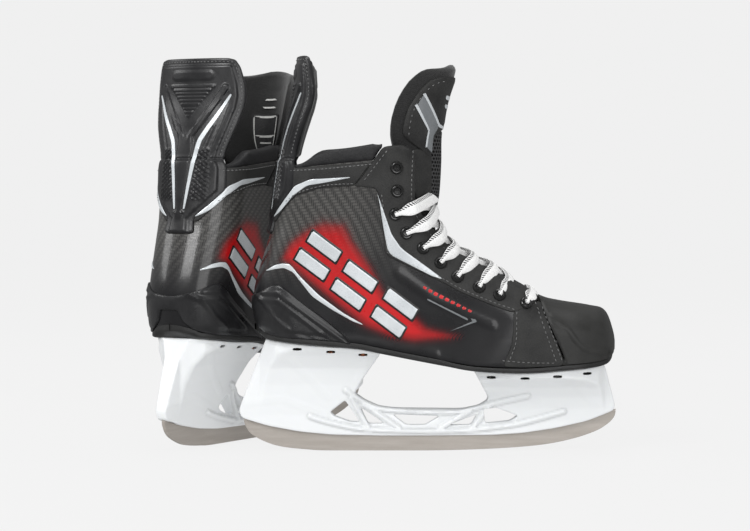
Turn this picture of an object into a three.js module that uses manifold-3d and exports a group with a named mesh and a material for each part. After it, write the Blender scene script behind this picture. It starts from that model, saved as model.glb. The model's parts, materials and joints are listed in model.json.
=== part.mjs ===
// A pair of ice hockey skates standing side by side: a right skate that points along +X,
// and behind it a left skate turned on the ice. Millimetres, +Z up, blades on z = 0.
//
// Each skate is drawn in its own frame: x forward from the back of the heel, z up from the
// ice, y across with the outer (little toe) side of the right skate at -y. The boot is one
// smooth form, a half-width over the side view, and its shell, panels, lining and foam are
// layers of that form cut to outlines in the side view or the rear view.
import * as THREE from 'three';
import { mergeVertices } from 'three/addons/utils/BufferGeometryUtils.js';
import Module from 'manifold-3d';

const wasm = await Module();
wasm.setup();

// ---- driving dimensions ----
const LEFT_TURN = 59; // degrees the left skate is turned on the ice
const LEFT_PIVOT_X = 150; // the point of each skate that the left one is placed by
const LEFT_PLACE = [7, 118]; // where that point of the left skate stands
const PAIR_CENTRE = [106.04, 103.495]; // centre of the pair's footprint, moved to the origin

const SHELL_WALL = 3; // composite quarter and toe cap
const PANEL_GAP = 0.3; // clearance between touching pieces
const PANEL_RISE = 1.5; // outer face of sewn and moulded panels above the shell
const OUTSOLE_THICK = 4;
const FOOTBED_THICK = 5;
const LINER_INNER = 8.5; // depth of the lining's inner face below the shell's outer face
const FOAM_INNER = 11;
const GUARD_OUTER = 0.8;
const GUARD_INNER = 2.4;
const GUARD_HINGE_Z = 243; // where the tendon guard flexes
const TONGUE_THICK = 8;
const RUNNER_HALF = 1.5; // the steel is 3 mm thick
const RUNNER_SEAT = 6; // depth of the steel hidden in the holder
const BRIDGE_HALF = 6; // half the thickness of the holder's bridge
const EYELET_RADIUS = 4;
const EYELET_BORE = 2;
const EYELET_TOP = 3.6; // height of the flange above the shell
const EYELET_STRIP = 6.4; // width of the strip that the eyelets are set in
const LACE_WIDTH = 6;
const LACE_THICK = 1.6;

// ---- the boot's form ----
// Sections fan out from a point ahead of and above the instep. Angles run from the toe,
// straight down, over the sole and the heel, up to the top of the tendon guard.
const FAN = { x: 330, z: 290 };
const OUTER_LINE = [
  [300, 84], [291, 74], [254, 70], [221, 68], [183, 69.5], [159, 73.5], [129, 79], [103, 84],
  [84, 87.5], [46, 90.5], [11.5, 94.5], [5, 99], [1.5, 110], [0, 127], [1, 138], [5, 153],
  [12, 176], [17, 194], [21, 222], [25, 250], [31, 278], [35, 300], [38, 345],
];
const CREST_LINE = [
  [300.5, 88], [298.5, 100], [292, 116], [280, 120], [255, 124], [240, 127.5], [225, 136],
  [200, 149], [184, 157.5], [170, 165], [160, 173], [152, 186], [147, 200], [146, 216],
  [147, 235], [148, 252], [151, 285], [155, 345],
];
// by fan angle: greatest half-width, half-width at the crest, depth of the rounded crest
const BODY_HALF = [[98, 46], [111, 46.5], [117, 47], [123, 46], [129, 43], [135, 39.5],
  [141, 37], [147, 35.5], [153, 36.5], [158, 38], [164, 40], [170, 43], [178, 48], [196, 51]];
const CREST_HALF = [[98, 0], [114, 0], [119, 10], [122, 18], [140, 18], [150, 12], [196, 8]];
const CREST_DEPTH = [[98, 26], [112, 27], [140, 30], [155, 32], [196, 34]];
const TOE_X = 300.6;
const TOE_DEPTH = 40; // length over which the toe rounds in plan
const HEEL_DEPTH = [[84, 33], [180, 33], [240, 34], [290, 36], [345, 36]]; // by height
const TOE_SWING = 6; // how far the toe leans to the inner side

const FORM_ANGLES = [98.25, 99.3, 102, 108, 117, 126, 135, 143, 149, 154, 161, 170, 180, 188, 196];
const FORM_STEPS = [0, 0.09, 0.28, 0.62, 0.85, 0.96, 1];
const INNER_ANGLES = [98.4, 100.5, 107, 120, 134, 146, 153, 163, 178, 196];
const INNER_STEPS = [0, 0.2, 0.7, 0.93, 1];

const lerpTable = (table, value) => {
  if (value <= table[0][0]) return table[0][1];
  for (let i = 1; i < table.length; i++) {
    const [a, b] = [table[i - 1], table[i]];
    if (value <= b[0]) return a[1] + ((b[1] - a[1]) * (value - a[0])) / (b[0] - a[0]);
  }
  return table[table.length - 1][1];
};

const smooth = (points, count = 100) =>
  new THREE.SplineCurve(points.map(([x, z]) => new THREE.Vector2(x, z)))
    .getPoints(count).map((p) => [p.x, p.y]);

const toFan = ([x, z]) => {
  const angle = THREE.MathUtils.radToDeg(Math.atan2(FAN.z - z, x - FAN.x));
  return [(angle + 360) % 360, Math.hypot(x - FAN.x, z - FAN.z)];
};
const fromFan = (angle, radius) => {
  const a = THREE.MathUtils.degToRad(angle);
  return [FAN.x + radius * Math.cos(a), FAN.z - radius * Math.sin(a)];
};
const outerRadius = smooth(OUTER_LINE, 160).map(toFan);
const crestRadius = smooth(CREST_LINE, 160).map(toFan);
const backLine = smooth(OUTER_LINE.slice(10), 80).map(([x, z]) => [z, x]);
const soleLine = smooth(OUTER_LINE.slice(1, 11), 80).reverse();

// a quarter of a superellipse: 0 at depth 0, 1 from the given depth on
const roundOff = (distance, depth, power) => {
  const s = THREE.MathUtils.clamp(distance / depth, 0, 1);
  return Math.pow(1 - Math.pow(1 - s, power), 1 / power);
};

function halfWidth(x, z) {
  const [angle, radius] = toFan([x, z]);
  const fromCrest = radius - lerpTable(crestRadius, angle);
  const fromOuter = lerpTable(outerRadius, angle) - radius;
  const crest = lerpTable(CREST_HALF, angle);
  const rounded = roundOff(fromCrest, lerpTable(CREST_DEPTH, angle), 2.2);
  const width = crest + (lerpTable(BODY_HALF, angle) - crest) * rounded;
  const heel = z < 92 ? roundOff(x, 33, 2) : roundOff(x - lerpTable(backLine, z),
    lerpTable(HEEL_DEPTH, z), 2);
  const toe = roundOff(TOE_X - x, TOE_DEPTH, 2.2);
  const tuck = 1 - 0.05 * Math.pow(1 - THREE.MathUtils.clamp(fromOuter / 6, 0, 1), 2);
  return width * heel * toe * tuck;
}
const centreY = (x) => TOE_SWING * Math.pow(THREE.MathUtils.clamp((x - 130) / 170, 0, 1), 2);

// a point on the boot's outside, side -1 outer or +1 inner, and the way the surface faces
const skin = (side, x, z) => new THREE.Vector3(x, centreY(x) + side * halfWidth(x, z), z);
function skinNormal(side, x, z) {
  const d = 1.5;
  const alongX = skin(side, x + d, z).sub(skin(side, x - d, z));
  const alongZ = skin(side, x, z + d).sub(skin(side, x, z - d));
  return alongX.cross(alongZ).multiplyScalar(-side).normalize();
}

// ---- solids ----
function closedSolid(positions, indices) {
  const raw = new THREE.BufferGeometry();
  raw.setAttribute('position', new THREE.Float32BufferAttribute(positions, 3));
  raw.setIndex(indices);
  return solidOf(raw);
}

function solidOf(geometry) {
  const bare = geometry.clone();
  bare.deleteAttribute('normal');
  bare.deleteAttribute('uv');
  const merged = mergeVertices(bare, 1e-3);
  const index = merged.index.array;
  const triVerts = [];
  for (let i = 0; i < index.length; i += 3) {
    const [a, b, c] = [index[i], index[i + 1], index[i + 2]];
    if (a !== b && b !== c && c !== a) triVerts.push(a, b, c);
  }
  const vertProperties = new Float32Array(merged.attributes.position.array);
  return new wasm.Manifold(new wasm.Mesh({ numProp: 3, vertProperties,
    triVerts: new Uint32Array(triVerts) }));
}

function geometryOf(solid) {
  const mesh = solid.getMesh();
  const geometry = new THREE.BufferGeometry();
  const positions = new Float32Array((mesh.vertProperties.length / mesh.numProp) * 3);
  for (let i = 0; i < positions.length / 3; i++) {
    positions.set(mesh.vertProperties.subarray(i * mesh.numProp, i * mesh.numProp + 3), i * 3);
  }
  geometry.setAttribute('position', new THREE.BufferAttribute(positions, 3));
  geometry.setIndex(new THREE.BufferAttribute(new Uint32Array(mesh.triVerts), 1));
  return geometry;
}

// the closed solid between two sheets of rows x columns points, front(i, j) and back(i, j)
function sheetSolid(rows, columns, front, back) {
  const positions = [];
  const indices = [];
  for (const sheet of [front, back]) {
    for (let i = 0; i < rows; i++) {
      for (let j = 0; j < columns; j++) positions.push(...sheet(i, j).toArray());
    }
  }
  const at = (side, i, j) => side * rows * columns + i * columns + j;
  const quad = (a, b, c, d) => indices.push(a, b, c, a, c, d);
  for (let i = 0; i + 1 < rows; i++) {
    for (let j = 0; j + 1 < columns; j++) {
      quad(at(0, i, j), at(0, i, j + 1), at(0, i + 1, j + 1), at(0, i + 1, j));
      quad(at(1, i, j), at(1, i + 1, j), at(1, i + 1, j + 1), at(1, i, j + 1));
    }
    quad(at(0, i, 0), at(0, i + 1, 0), at(1, i + 1, 0), at(1, i, 0));
    quad(at(0, i + 1, columns - 1), at(0, i, columns - 1), at(1, i, columns - 1),
      at(1, i + 1, columns - 1));
  }
  for (let j = 0; j + 1 < columns; j++) {
    quad(at(0, 0, j + 1), at(0, 0, j), at(1, 0, j), at(1, 0, j + 1));
    quad(at(0, rows - 1, j), at(0, rows - 1, j + 1), at(1, rows - 1, j + 1),
      at(1, rows - 1, j));
  }
  const solid = closedSolid(positions, indices);
  if (solid.volume() > 0) return solid;
  return closedSolid(positions, indices.reverse());
}

// a closed outline of points, without the points that repeat the one before
const shapeOf = (outline) => new THREE.Shape(outline.filter(([a, b], i) => {
  const [c, d] = outline[(i + outline.length - 1) % outline.length];
  return Math.hypot(a - c, b - d) > 0.01;
}).map(([a, b]) => new THREE.Vector2(a, b)));

// an outline in the side view [x, z], carried across from y = from to y = to
function sidePrism(outline, from = -80, to = 80) {
  const shape = shapeOf(outline);
  const geometry = new THREE.ExtrudeGeometry(shape, { depth: to - from, bevelEnabled: false });
  geometry.rotateX(Math.PI / 2);
  geometry.translate(0, to, 0);
  return solidOf(geometry);
}

// an outline in the rear view [y, z], carried forward from x = from to x = to
function rearPrism(outline, from, to) {
  const shape = shapeOf(outline);
  const geometry = new THREE.ExtrudeGeometry(shape, { depth: to - from, bevelEnabled: false });
  geometry.rotateX(Math.PI / 2);
  geometry.rotateZ(Math.PI / 2);
  geometry.translate(from, 0, 0);
  return solidOf(geometry);
}

// an outline in the plan view [x, y], carried up from z = from to z = to
function planPrism(outline, from, to) {
  const shape = shapeOf(outline);
  const geometry = new THREE.ExtrudeGeometry(shape, { depth: to - from, bevelEnabled: false });
  geometry.translate(0, 0, from);
  return solidOf(geometry);
}

// an outline of one side of the plan, joined to its mirror image
const mirrored = (line) => [...line, ...[...line].reverse().filter(([, y]) => y !== 0)
  .map(([x, y]) => [x, -y])];

// a cylinder from one point towards a direction
function rod(start, direction, length, radius, sides = 8) {
  const geometry = new THREE.CylinderGeometry(radius, radius, length, sides);
  geometry.translate(0, length / 2, 0);
  const turn = new THREE.Quaternion().setFromUnitVectors(new THREE.Vector3(0, 1, 0), direction);
  geometry.applyQuaternion(turn);
  geometry.translate(start.x, start.y, start.z);
  return solidOf(geometry);
}

// the whole boot form, on a grid of fan angles and steps from the crest to the outer line
function formOn(angles, steps) {
  const point = (side) => (i, j) => {
    const crest = lerpTable(crestRadius, angles[i]);
    const outer = lerpTable(outerRadius, angles[i]);
    const [x, z] = fromFan(angles[i], crest + steps[j] * (outer - crest));
    return skin(side, x, z);
  };
  const geometry = geometryOf(sheetSolid(angles.length, steps.length, point(-1), point(1)));
  geometry.computeVertexNormals();
  return geometry;
}
const outerForm = formOn(FORM_ANGLES, FORM_STEPS);
const innerForm = formOn(INNER_ANGLES, INNER_STEPS);

// the form grown outwards by the given distance along its vertex normals
function form(growth, base = outerForm) {
  const geometry = base.clone();
  const position = geometry.attributes.position;
  const normal = geometry.attributes.normal;
  for (let i = 0; i < position.count; i++) {
    position.setXYZ(i, position.getX(i) + growth * normal.getX(i),
      position.getY(i) + growth * normal.getY(i), position.getZ(i) + growth * normal.getZ(i));
  }
  return solidOf(geometry);
}

const layer = (inner, outer, base = outerForm) =>
  form(outer, base).subtract(form(inner, base));

// ---- outlines in the side view ----
const FAR = 400;
const FACING_EDGE = [[129.5, 252], [133, 246.5], [133.5, 206.5], [143, 191], [155.5, 176],
  [168, 165.5], [183.5, 157.5], [200.5, 149], [215.5, 142.5], [230.5, 134], [235.6, 129]];
const SHELL_FRONT = [[111, 252.3], [112, 217], [110.5, 196], [121, 177.5], [135.5, 165],
  [150, 152.5], [165, 140.5], [183, 132], [200, 125], [222, 118], [238.8, 119.3]];
const TOE_SEAM = [[236.5, 129], [241.5, 113], [252, 90], [262, 60]];
const COLLAR_LINE = [[-20, 236], [39.5, 236], [99.5, 242], [108, 252]];
const COLLAR_TOP = [[36, 238], [43, 240], [55, 249], [75, 250], [97, 253.5], [107.5, 255.5]];
const BAND_LOWER = [[-20, 170], [17, 188.5], [27.5, 204], [37, 213.5], [57.5, 219.5], [83.5, 221]];
const EYESTAY_REAR = [[107.5, 252.5], [98.5, 240], [89.5, 227.5], [83.5, 221], [101, 219.5],
  [104, 214.5], [107, 187.5], [109.5, 164.5], [133, 153], [154.5, 143], [171, 134],
  [197.5, 123], [213.5, 117.5], [231, 124]];
const COUNTER_TOP = [[-20, 139], [0, 139], [19, 140.5], [25.5, 138.5], [39.5, 126.5],
  [60, 112.5], [77.5, 97], [87, 84]];
const VAMP_OUTLINE = [[215.5, 116.6], [215.5, 111.5], [213.5, 95], [208.5, 81.5], [206, 73],
  [257, 74], [250.8, 90], [240.5, 113], [238.2, 118.4], [222, 116.9]];
// the open throat between the facings, in the plan view
const THROAT = [[100, 0], [100, -24], [132, -22], [150, -19], [170, -17], [200, -15],
  [225, -12], [238, -8], [240, 0]];
const EYELETS = [[118.5, 236], [119, 217], [117.5, 198], [126.5, 182.5], [140, 170],
  [154.5, 157.5], [168.5, 146.5], [186, 138], [202.5, 131.5], [224, 124.5]];
const LACED_FROM = 2; // the two highest eyelets of each side stay open

const shiftZ = (line, dz) => line.map(([x, z]) => [x, z + dz]);
const soleCut = (lift) => shiftZ([[-30, 97], ...soleLine.filter((_, i) => i % 5 === 0),
  [FAR, 78]], lift);
const above = (line) => sidePrism([...line, [FAR, 500], [-60, 500]]);
const below = (line) => sidePrism([...line, [FAR, 20], [-60, 20]]);

// ---- boot ----
const beforeThroat = sidePrism([[-40, 20], [262, 20], ...[...TOE_SEAM].reverse().slice(0, 3),
  ...[...SHELL_FRONT].reverse(), ...[...COLLAR_LINE].reverse()].map(
  ([x, z]) => [x - PANEL_GAP / 2, z]));
const aboveOutsole = above(soleCut(OUTSOLE_THICK + PANEL_GAP));
const aboveFootbed = above(soleCut(OUTSOLE_THICK + FOOTBED_THICK + 2 * PANEL_GAP + 1.2));

// a wall of the form that is open underneath
const openWall = (inner, outer, base = outerForm) => layer(inner, outer, base)
  .subtract(form(inner, base).translate([0, 0, -5]));

function quarterShell() {
  return openWall(-SHELL_WALL, 0).intersect(beforeThroat).intersect(aboveOutsole);
}

function outsole() {
  return form(PANEL_RISE).intersect(below(soleCut(OUTSOLE_THICK))).intersect(above(soleCut(0)));
}

function toeCap() {
  const ahead = sidePrism([...TOE_SEAM, [FAR, 60], [FAR, 200], [232, 200], [232, 135]].map(
    ([x, z]) => [x + PANEL_GAP / 2, z]));
  return openWall(-SHELL_WALL, PANEL_RISE).intersect(ahead).intersect(aboveOutsole);
}

function liner() {
  const room = layer(-LINER_INNER, -SHELL_WALL - 2.8, innerForm);
  const cut = sidePrism([[-40, 20], [285, 20], [285, 108], [250, 107], [222, 104], [200, 112],
    [183, 120], [165, 129], [150, 140], [135, 152], [121, 166], [108, 190], [107, 240],
    ...[...COLLAR_LINE].reverse().slice(1).map(([x, z]) => [x, z - 1])]);
  return room.intersect(cut).intersect(aboveFootbed);
}

function footbed() {
  const bottom = above(soleCut(OUTSOLE_THICK + 2 * PANEL_GAP + 1.2));
  const top = below(soleCut(OUTSOLE_THICK + FOOTBED_THICK + PANEL_GAP + 1));
  const length = sidePrism([[10, 20], [288, 20], [288, 300], [10, 300]]);
  return form(-SHELL_WALL - PANEL_GAP).intersect(bottom).intersect(top).intersect(length);
}

function sidePanel(side, outline, inner = PANEL_GAP, outer = PANEL_RISE) {
  const half = side < 0 ? sidePrism(outline, -80, 0) : sidePrism(outline, 0, 80);
  return layer(inner, outer).intersect(half).intersect(aboveOutsole);
}

// the facing: a panel over the shell that takes the shell's place along the eyelets
function eyestay(side) {
  const panel = sidePanel(side, [...EYESTAY_REAR, ...[...FACING_EDGE].reverse().slice(1)]);
  const strip = sidePanel(side, [...SHELL_FRONT.map(([x, z]) => [x + PANEL_GAP, z + 0.4]),
    ...[...FACING_EDGE].reverse()], -SHELL_WALL, PANEL_RISE);
  return panel.add(strip).subtract(planPrism(mirrored(THROAT), 20, 300));
}

// the eyelets of one side, set in the strip that binds the front of the facing
function eyeletRow(side) {
  const stripPoint = (height) => (i, j) => {
    const [x, z] = EYELETS[i];
    const [a, b] = [EYELETS[Math.max(i - 1, 0)], EYELETS[Math.min(i + 1, EYELETS.length - 1)]];
    const along = new THREE.Vector2(b[0] - a[0], b[1] - a[1]).normalize();
    const across = (j - 0.5) * EYELET_STRIP;
    return skin(side, x - along.y * across, z + along.x * across)
      .addScaledVector(skinNormal(side, x, z), height);
  };
  const foot = PANEL_RISE + PANEL_GAP;
  let row = sheetSolid(EYELETS.length, 2, stripPoint(foot + 0.3), stripPoint(foot + 1.3));
  for (const [i, [x, z]] of EYELETS.entries()) {
    const bore = i < LACED_FROM ? EYELET_BORE : 0;
    const section = [[bore, foot + 0.8], [EYELET_RADIUS, foot + 0.8], [bore, EYELET_TOP],
      [bore, foot + 0.8]];
    const ring = new THREE.LatheGeometry(section.map(([r, h]) => new THREE.Vector2(r, h)), 6);
    ring.applyQuaternion(new THREE.Quaternion().setFromUnitVectors(
      new THREE.Vector3(0, 1, 0), skinNormal(side, x, z)));
    const centre = skin(side, x, z);
    ring.translate(centre.x, centre.y, centre.z);
    row = row.add(solidOf(ring));
  }
  return row;
}

function heelCounter() {
  const outline = [...COUNTER_TOP, [87, 60], [-20, 60]];
  return layer(PANEL_GAP, PANEL_RISE + 0.5).intersect(sidePrism(outline))
    .intersect(aboveOutsole);
}

function collarBand(side) {
  const rear = [...BAND_LOWER, [89.2, 227.8], [98.2, 240.3], ...[...COLLAR_LINE].slice(0, 2)
    .reverse()];
  return sidePanel(side, rear).subtract(guardRoom());
}

function collarFoam() {
  const outline = [[20, 237], [39.5, 236.4], [99.3, 242.4], [107.2, 252.8], [107.2, 255.3],
    ...[...COLLAR_TOP].reverse().slice(1), [36, 241], [20, 241]];
  return layer(-FOAM_INNER, 0).intersect(sidePrism(outline));
}

// ---- tendon guard ----
const GUARD_HALF = [[181, 14.5], [193, 13], [205, 24], [217, 34], [236, 34], [242, 31.5],
  [250, 33], [270, 40], [285, 44], [296, 45], [306, 44], [320, 40.5], [326, 37], [328.5, 30]];
const guardOutline = (from, to, inset = 0) => {
  const right = GUARD_HALF.filter(([z]) => z > from && z < to).map(([z, y]) => [y - inset, z]);
  const ends = (z) => [lerpTable(GUARD_HALF, z) - inset, z];
  const side = [ends(from), ...right, ends(to)];
  return [...side, ...[...side].reverse().map(([y, z]) => [-y, z])];
};
const GUARD_FRONT = 62;
const guardRoom = () => rearPrism(guardOutline(181, 260, -0.6), -20, GUARD_FRONT);

function tendonGuard() {
  const plate = rearPrism(guardOutline(GUARD_HINGE_Z, 328.4), -20, GUARD_FRONT);
  return layer(-GUARD_INNER, GUARD_OUTER).intersect(plate);
}

function tendonGuardBase() {
  const plate = rearPrism(guardOutline(181, GUARD_HINGE_Z - 0.6), -20, GUARD_FRONT);
  return layer(PANEL_GAP, PANEL_RISE + 0.3).intersect(plate);
}

function tendonGuardPad() {
  const plate = rearPrism(guardOutline(GUARD_HINGE_Z + 1, 321, 3.5), -20, GUARD_FRONT);
  return layer(-FOAM_INNER, -GUARD_INNER - PANEL_GAP).intersect(plate);
}

// ---- tongue ----
// by length along the tongue: x and z of the middle of its front face, half-width, wrap depth
const TONGUE = [
  [231, 121, 16, 2], [216, 131, 18, 3], [198, 142, 20, 4], [180, 151, 22, 6],
  [164, 162, 23, 10], [153, 178, 25, 18], [151, 196, 25, 25], [154, 215, 27, 31],
  [155.5, 240, 28, 36], [156, 264, 40, 42], [160, 290, 43, 43], [167, 312, 38, 38],
  [168.5, 321, 30, 30],
];
const tongueMid = new THREE.SplineCurve(TONGUE.map(([x, z]) => new THREE.Vector2(x, z)));
const TONGUE_SPREAD = 1.2; // radians of arc each way

function tonguePoint(v, u, depth) {
  const mid = tongueMid.getPoint(v);
  const along = tongueMid.getTangent(v);
  const steps = TONGUE.map(([, , half, wrap], i) => [i / (TONGUE.length - 1), half, wrap]);
  const half = lerpTable(steps, v) - depth * 0.8;
  const wrap = lerpTable(steps.map(([s, , w]) => [s, w]), v) - depth * 0.2;
  const back = (1 - Math.cos(u * TONGUE_SPREAD)) / (1 - Math.cos(TONGUE_SPREAD));
  const across = Math.sin(u * TONGUE_SPREAD) / Math.sin(TONGUE_SPREAD);
  const inward = depth + wrap * back;
  return new THREE.Vector3(mid.x - along.y * inward, half * across, mid.y + along.x * inward);
}

function tongueSheet(from, to, rows, front, back) {
  const columns = 7;
  const sheet = (depth) => (i, j) => {
    const v = from + ((to - from) * i) / (rows - 1);
    return tonguePoint(v, (j / (columns - 1)) * 2 - 1, depth);
  };
  return sheetSolid(rows, columns, sheet(front), sheet(back));
}

// the fold cuts the tongue in two along a line that falls from its edges to its front
const foldCut = (lift) => [[60, 262 + lift], [120, 257 + lift], [146, 249 + lift],
  [175, 246 + lift]];

function tongueBase() {
  return tongueSheet(0, 0.82, 10, 0, TONGUE_THICK).intersect(sidePrism([...foldCut(-0.5),
    [400, 100], [60, 60]]));
}

function tongueTop() {
  return tongueSheet(0.62, 1, 7, 0, TONGUE_THICK).intersect(sidePrism([...foldCut(0.5),
    [400, 400], [60, 400]]));
}

// the stiff shaped plate sewn to the front of the tongue's top
function tonguePlate() {
  const sheet = (depth) => (i, j) => {
    const u = (j / 4) * 2 - 1;
    const v = 0.765 + 0.165 * (i / 3) * (1 - 0.25 * u * u);
    return tonguePoint(v, u * 0.62, depth);
  };
  return sheetSolid(4, 5, sheet(-2.2), sheet(-0.9));
}

// ---- holder and runner ----
const RUNNER_LOWER = [[-8.5, 27], [-7.5, 21.5], [-2, 13.5], [11.5, 6.5], [24.5, 3], [43.5, 1],
  [64.5, 0], [144.5, 0], [197.5, 1.5], [237.5, 4.5], [264.5, 9.5], [285.5, 16.5], [296.5, 23.5],
  [301, 29], [302, 35]];
const RUNNER_EDGE = [[302, 35], [277.5, 25], [251, 19], [224.5, 15], [197.5, 13], [144.5, 12.5],
  [104.5, 12.5], [64.5, 13.5], [38, 16], [11.5, 21], [-8.5, 27]];
const REAR_FLANGE = [10.5, 106];
const FRONT_FLANGE = [181.5, 291.5];
const HOLDER_BACK = [[-10.5, 28.5], [-12.5, 34.5], [7.5, 86.5]];
const HOLDER_ARCH = [[91, 61], [84, 48.5], [92, 43], [104.5, 37.5], [118, 35.8],
  [173.5, 35.2], [187, 37.8], [196, 43.5], [183.5, 67]];
const HOLDER_WINDOWS = [
  [[63.5, 32.5], [76, 42.5], [79.5, 37.5], [88.5, 24], [80, 24.5], [67.5, 29]],
  [[89, 36.5], [95.5, 22.8], [109, 22.8]],
  [[115.5, 30.5], [155, 29], [143, 21.8], [127, 21.8]],
  [[162, 21.5], [186, 30.5], [181, 21.8]],
  [[191.5, 35], [202.5, 36], [220.5, 29.5], [213.5, 25], [193, 23]],
];
// half-width of each tower by height, [y, z]
const REAR_FLARE = [[5, 10], [6, 30], [8, 42], [11, 56], [16, 70], [24, 81], [31, 88], [32, 98]];
const FRONT_FLARE = [[5, 5], [6.5, 25], [9, 36], [13, 46], [20, 55], [32, 61], [41, 64], [43, 80]];
const HEEL_PLAN = [[8, 0], [11, -14], [19, -24], [32, -30], [60, -31], [112, -31]];
const BALL_PLAN = [[176, -27], [190, -31], [215, -38], [238, -40.5], [258, -38.5], [275, -32],
  [286, -22], [292, -9]];

const rivetFront = [196.5, 224, 250.5, 275.5].map((x) => [x, x > 270 ? 18 : 25]);
const rivetRear = [37, 64.5, 91].map((x) => [x, 20]);
const soleZ = (x) => lerpTable(soleLine, x);

function flare(profile, plan) {
  const section = [...profile, ...[...profile].reverse().map(([y, z]) => [-y, z])];
  return rearPrism(section, -30, 320).intersect(planPrism(mirrored(plan), 0, 110));
}

function rivetPocket(x, y, z) {
  const pocket = new THREE.BoxGeometry(7.5, 34, 2.6);
  pocket.translate(x, Math.sign(y) * (Math.abs(y) + 11), z - 4.6);
  return solidOf(pocket);
}

const holderTop = ([from, to]) => [from, ...[20, 40, 60, 80, 200, 221, 240, 260, 275].filter(
  (x) => x > from && x < to), to].map((x) => [x, soleZ(x) - PANEL_GAP]);

function holder() {
  const outline = [...holderTop(REAR_FLANGE), ...HOLDER_ARCH, ...holderTop(FRONT_FLANGE),
    ...RUNNER_EDGE, ...HOLDER_BACK];
  const bridge = sidePrism(outline, -BRIDGE_HALF, BRIDGE_HALF).intersect(sidePrism([[-20, 0],
    [310, 0], [310, 50], [-20, 50]]));
  const towers = flare(REAR_FLARE, [[-30, 0], [-30, -5], [5, -8], ...HEEL_PLAN.slice(1)])
    .add(flare(FRONT_FLARE, [...BALL_PLAN, [310, -7], [310, 0]]));
  let body = sidePrism(outline).intersect(towers).add(bridge);
  for (const window of HOLDER_WINDOWS) body = body.subtract(sidePrism(window));
  body = body.subtract(runnerBlank(RUNNER_SEAT + PANEL_GAP, RUNNER_HALF + 0.35));
  for (const [x, y] of [...rivetFront, ...rivetRear]) {
    for (const side of [-1, 1]) {
      body = body.subtract(rivetPocket(x, side * y, soleZ(x)));
      body = body.subtract(rod(new THREE.Vector3(x, side * y, soleZ(x) - 5),
        new THREE.Vector3(0, 0, 1), 8, 2.9, 4));
    }
  }
  for (const [x, z] of RUNNER_PINS) body = body.subtract(pinRod(x, z, 2.6, 4.9));
  return body;
}

const RUNNER_PINS = [[26, 24], [262, 27.5]];
const pinRod = (x, z, radius, half) => rod(new THREE.Vector3(x, -half, z),
  new THREE.Vector3(0, 1, 0), 2 * half, radius);

function runnerBlank(seat, half) {
  const hidden = RUNNER_EDGE.map(([x, z], i) => [x, i === 0 || i === RUNNER_EDGE.length - 1
    ? z : z + seat]);
  return sidePrism([...RUNNER_LOWER, ...hidden.slice(1, -1)], -half, half);
}

function runner() {
  let steel = runnerBlank(RUNNER_SEAT, RUNNER_HALF);
  for (const [x, z] of RUNNER_PINS) {
    const boss = pinRod(x, z, 4.4, RUNNER_HALF);
    steel = steel.subtract(pinRod(x, z, 2.35, 6)).intersect(steel.add(boss));
  }
  return steel;
}

// rivet shanks through outsole and holder, joined by the plate that they are set in
function rivetSet(places) {
  const xs = places.map(([x]) => x);
  const [from, to] = [Math.min(...xs) - 7, Math.max(...xs) + 7];
  const reach = places.map(([x, y]) => [x, -(y + 5)]);
  const plan = mirrored([[from, -(places[0][1] + 5)], ...reach, [to, reach.at(-1)[1]]]);
  let set = planPrism(plan, 60, 110).intersect(above(soleCut(OUTSOLE_THICK + PANEL_GAP)))
    .intersect(below(soleCut(OUTSOLE_THICK + PANEL_GAP + 1)));
  const up = new THREE.Vector3(0, 0, 1);
  for (const [x, y] of places) {
    for (const side of [-1, 1]) {
      const foot = new THREE.Vector3(x, side * y, soleZ(x) - 5.4);
      set = set.add(rod(foot, up, 5.4 + OUTSOLE_THICK + 0.8, 2, 4));
    }
  }
  return set;
}

function drilled(solid) {
  let result = solid;
  for (const [x, y] of [...rivetFront, ...rivetRear]) {
    for (const side of [-1, 1]) {
      result = result.subtract(rod(new THREE.Vector3(x, side * y, soleZ(x) - 6),
        new THREE.Vector3(0, 0, 1), 20, 2.9, 4));
    }
  }
  return result;
}

// ---- lace ----
const facingRadius = FACING_EDGE.map(toFan).reverse();
const tongueRadius = tongueMid.getPoints(60).slice(4, 44).map((p) => toFan([p.x, p.y]));
const laceEye = (side, i) => {
  const [x, z] = EYELETS[i];
  return skin(side, x, z).addScaledVector(skinNormal(side, x, z), EYELET_TOP + 2.4);
};
// where a strand rolls over the facing's edge, level with eyelet i
const laceEdge = (side, i) => {
  const [angle] = toFan(EYELETS[i]);
  const [x, z] = fromFan(angle, lerpTable(facingRadius, angle) + 0.5);
  return skin(side, x, z).addScaledVector(skinNormal(side, x, z), PANEL_RISE + 3.8);
};
const laceMiddle = (angle, lift) => {
  const [x, z] = fromFan(angle, Math.min(lerpTable(tongueRadius, angle),
    lerpTable(crestRadius, angle) + 1.5) - lift);
  return new THREE.Vector3(x, 0, z);
};

function laceStrand(fromSide, fromEye, toEye, lift) {
  const start = fromEye === toEye ? [laceEye(fromSide, fromEye)] : [];
  const angle = (toFan(EYELETS[fromEye])[0] + toFan(EYELETS[toEye])[0]) / 2;
  const middle = laceMiddle(angle, lift);
  const heart = laceMiddle(angle, -45);
  const knots = [...start, laceEdge(fromSide, fromEye), middle, laceEdge(-fromSide, toEye),
    laceEye(-fromSide, toEye)];
  const path = new THREE.CatmullRomCurve3(knots);
  const rows = 2 * knots.length - 1;
  const sheet = (height) => (i, j) => {
    const point = path.getPoint(i / (rows - 1));
    const along = path.getTangent(i / (rows - 1));
    const across = along.clone().cross(point.clone().sub(heart)).normalize();
    const up = across.clone().cross(along).normalize();
    const pinch = i === 0 || i === rows - 1 ? 0.5 : 1;
    return point.addScaledVector(across, (j - 0.5) * LACE_WIDTH * pinch)
      .addScaledVector(up, height);
  };
  return sheetSolid(rows, 2, sheet(LACE_THICK / 2), sheet(-LACE_THICK / 2));
}

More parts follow.
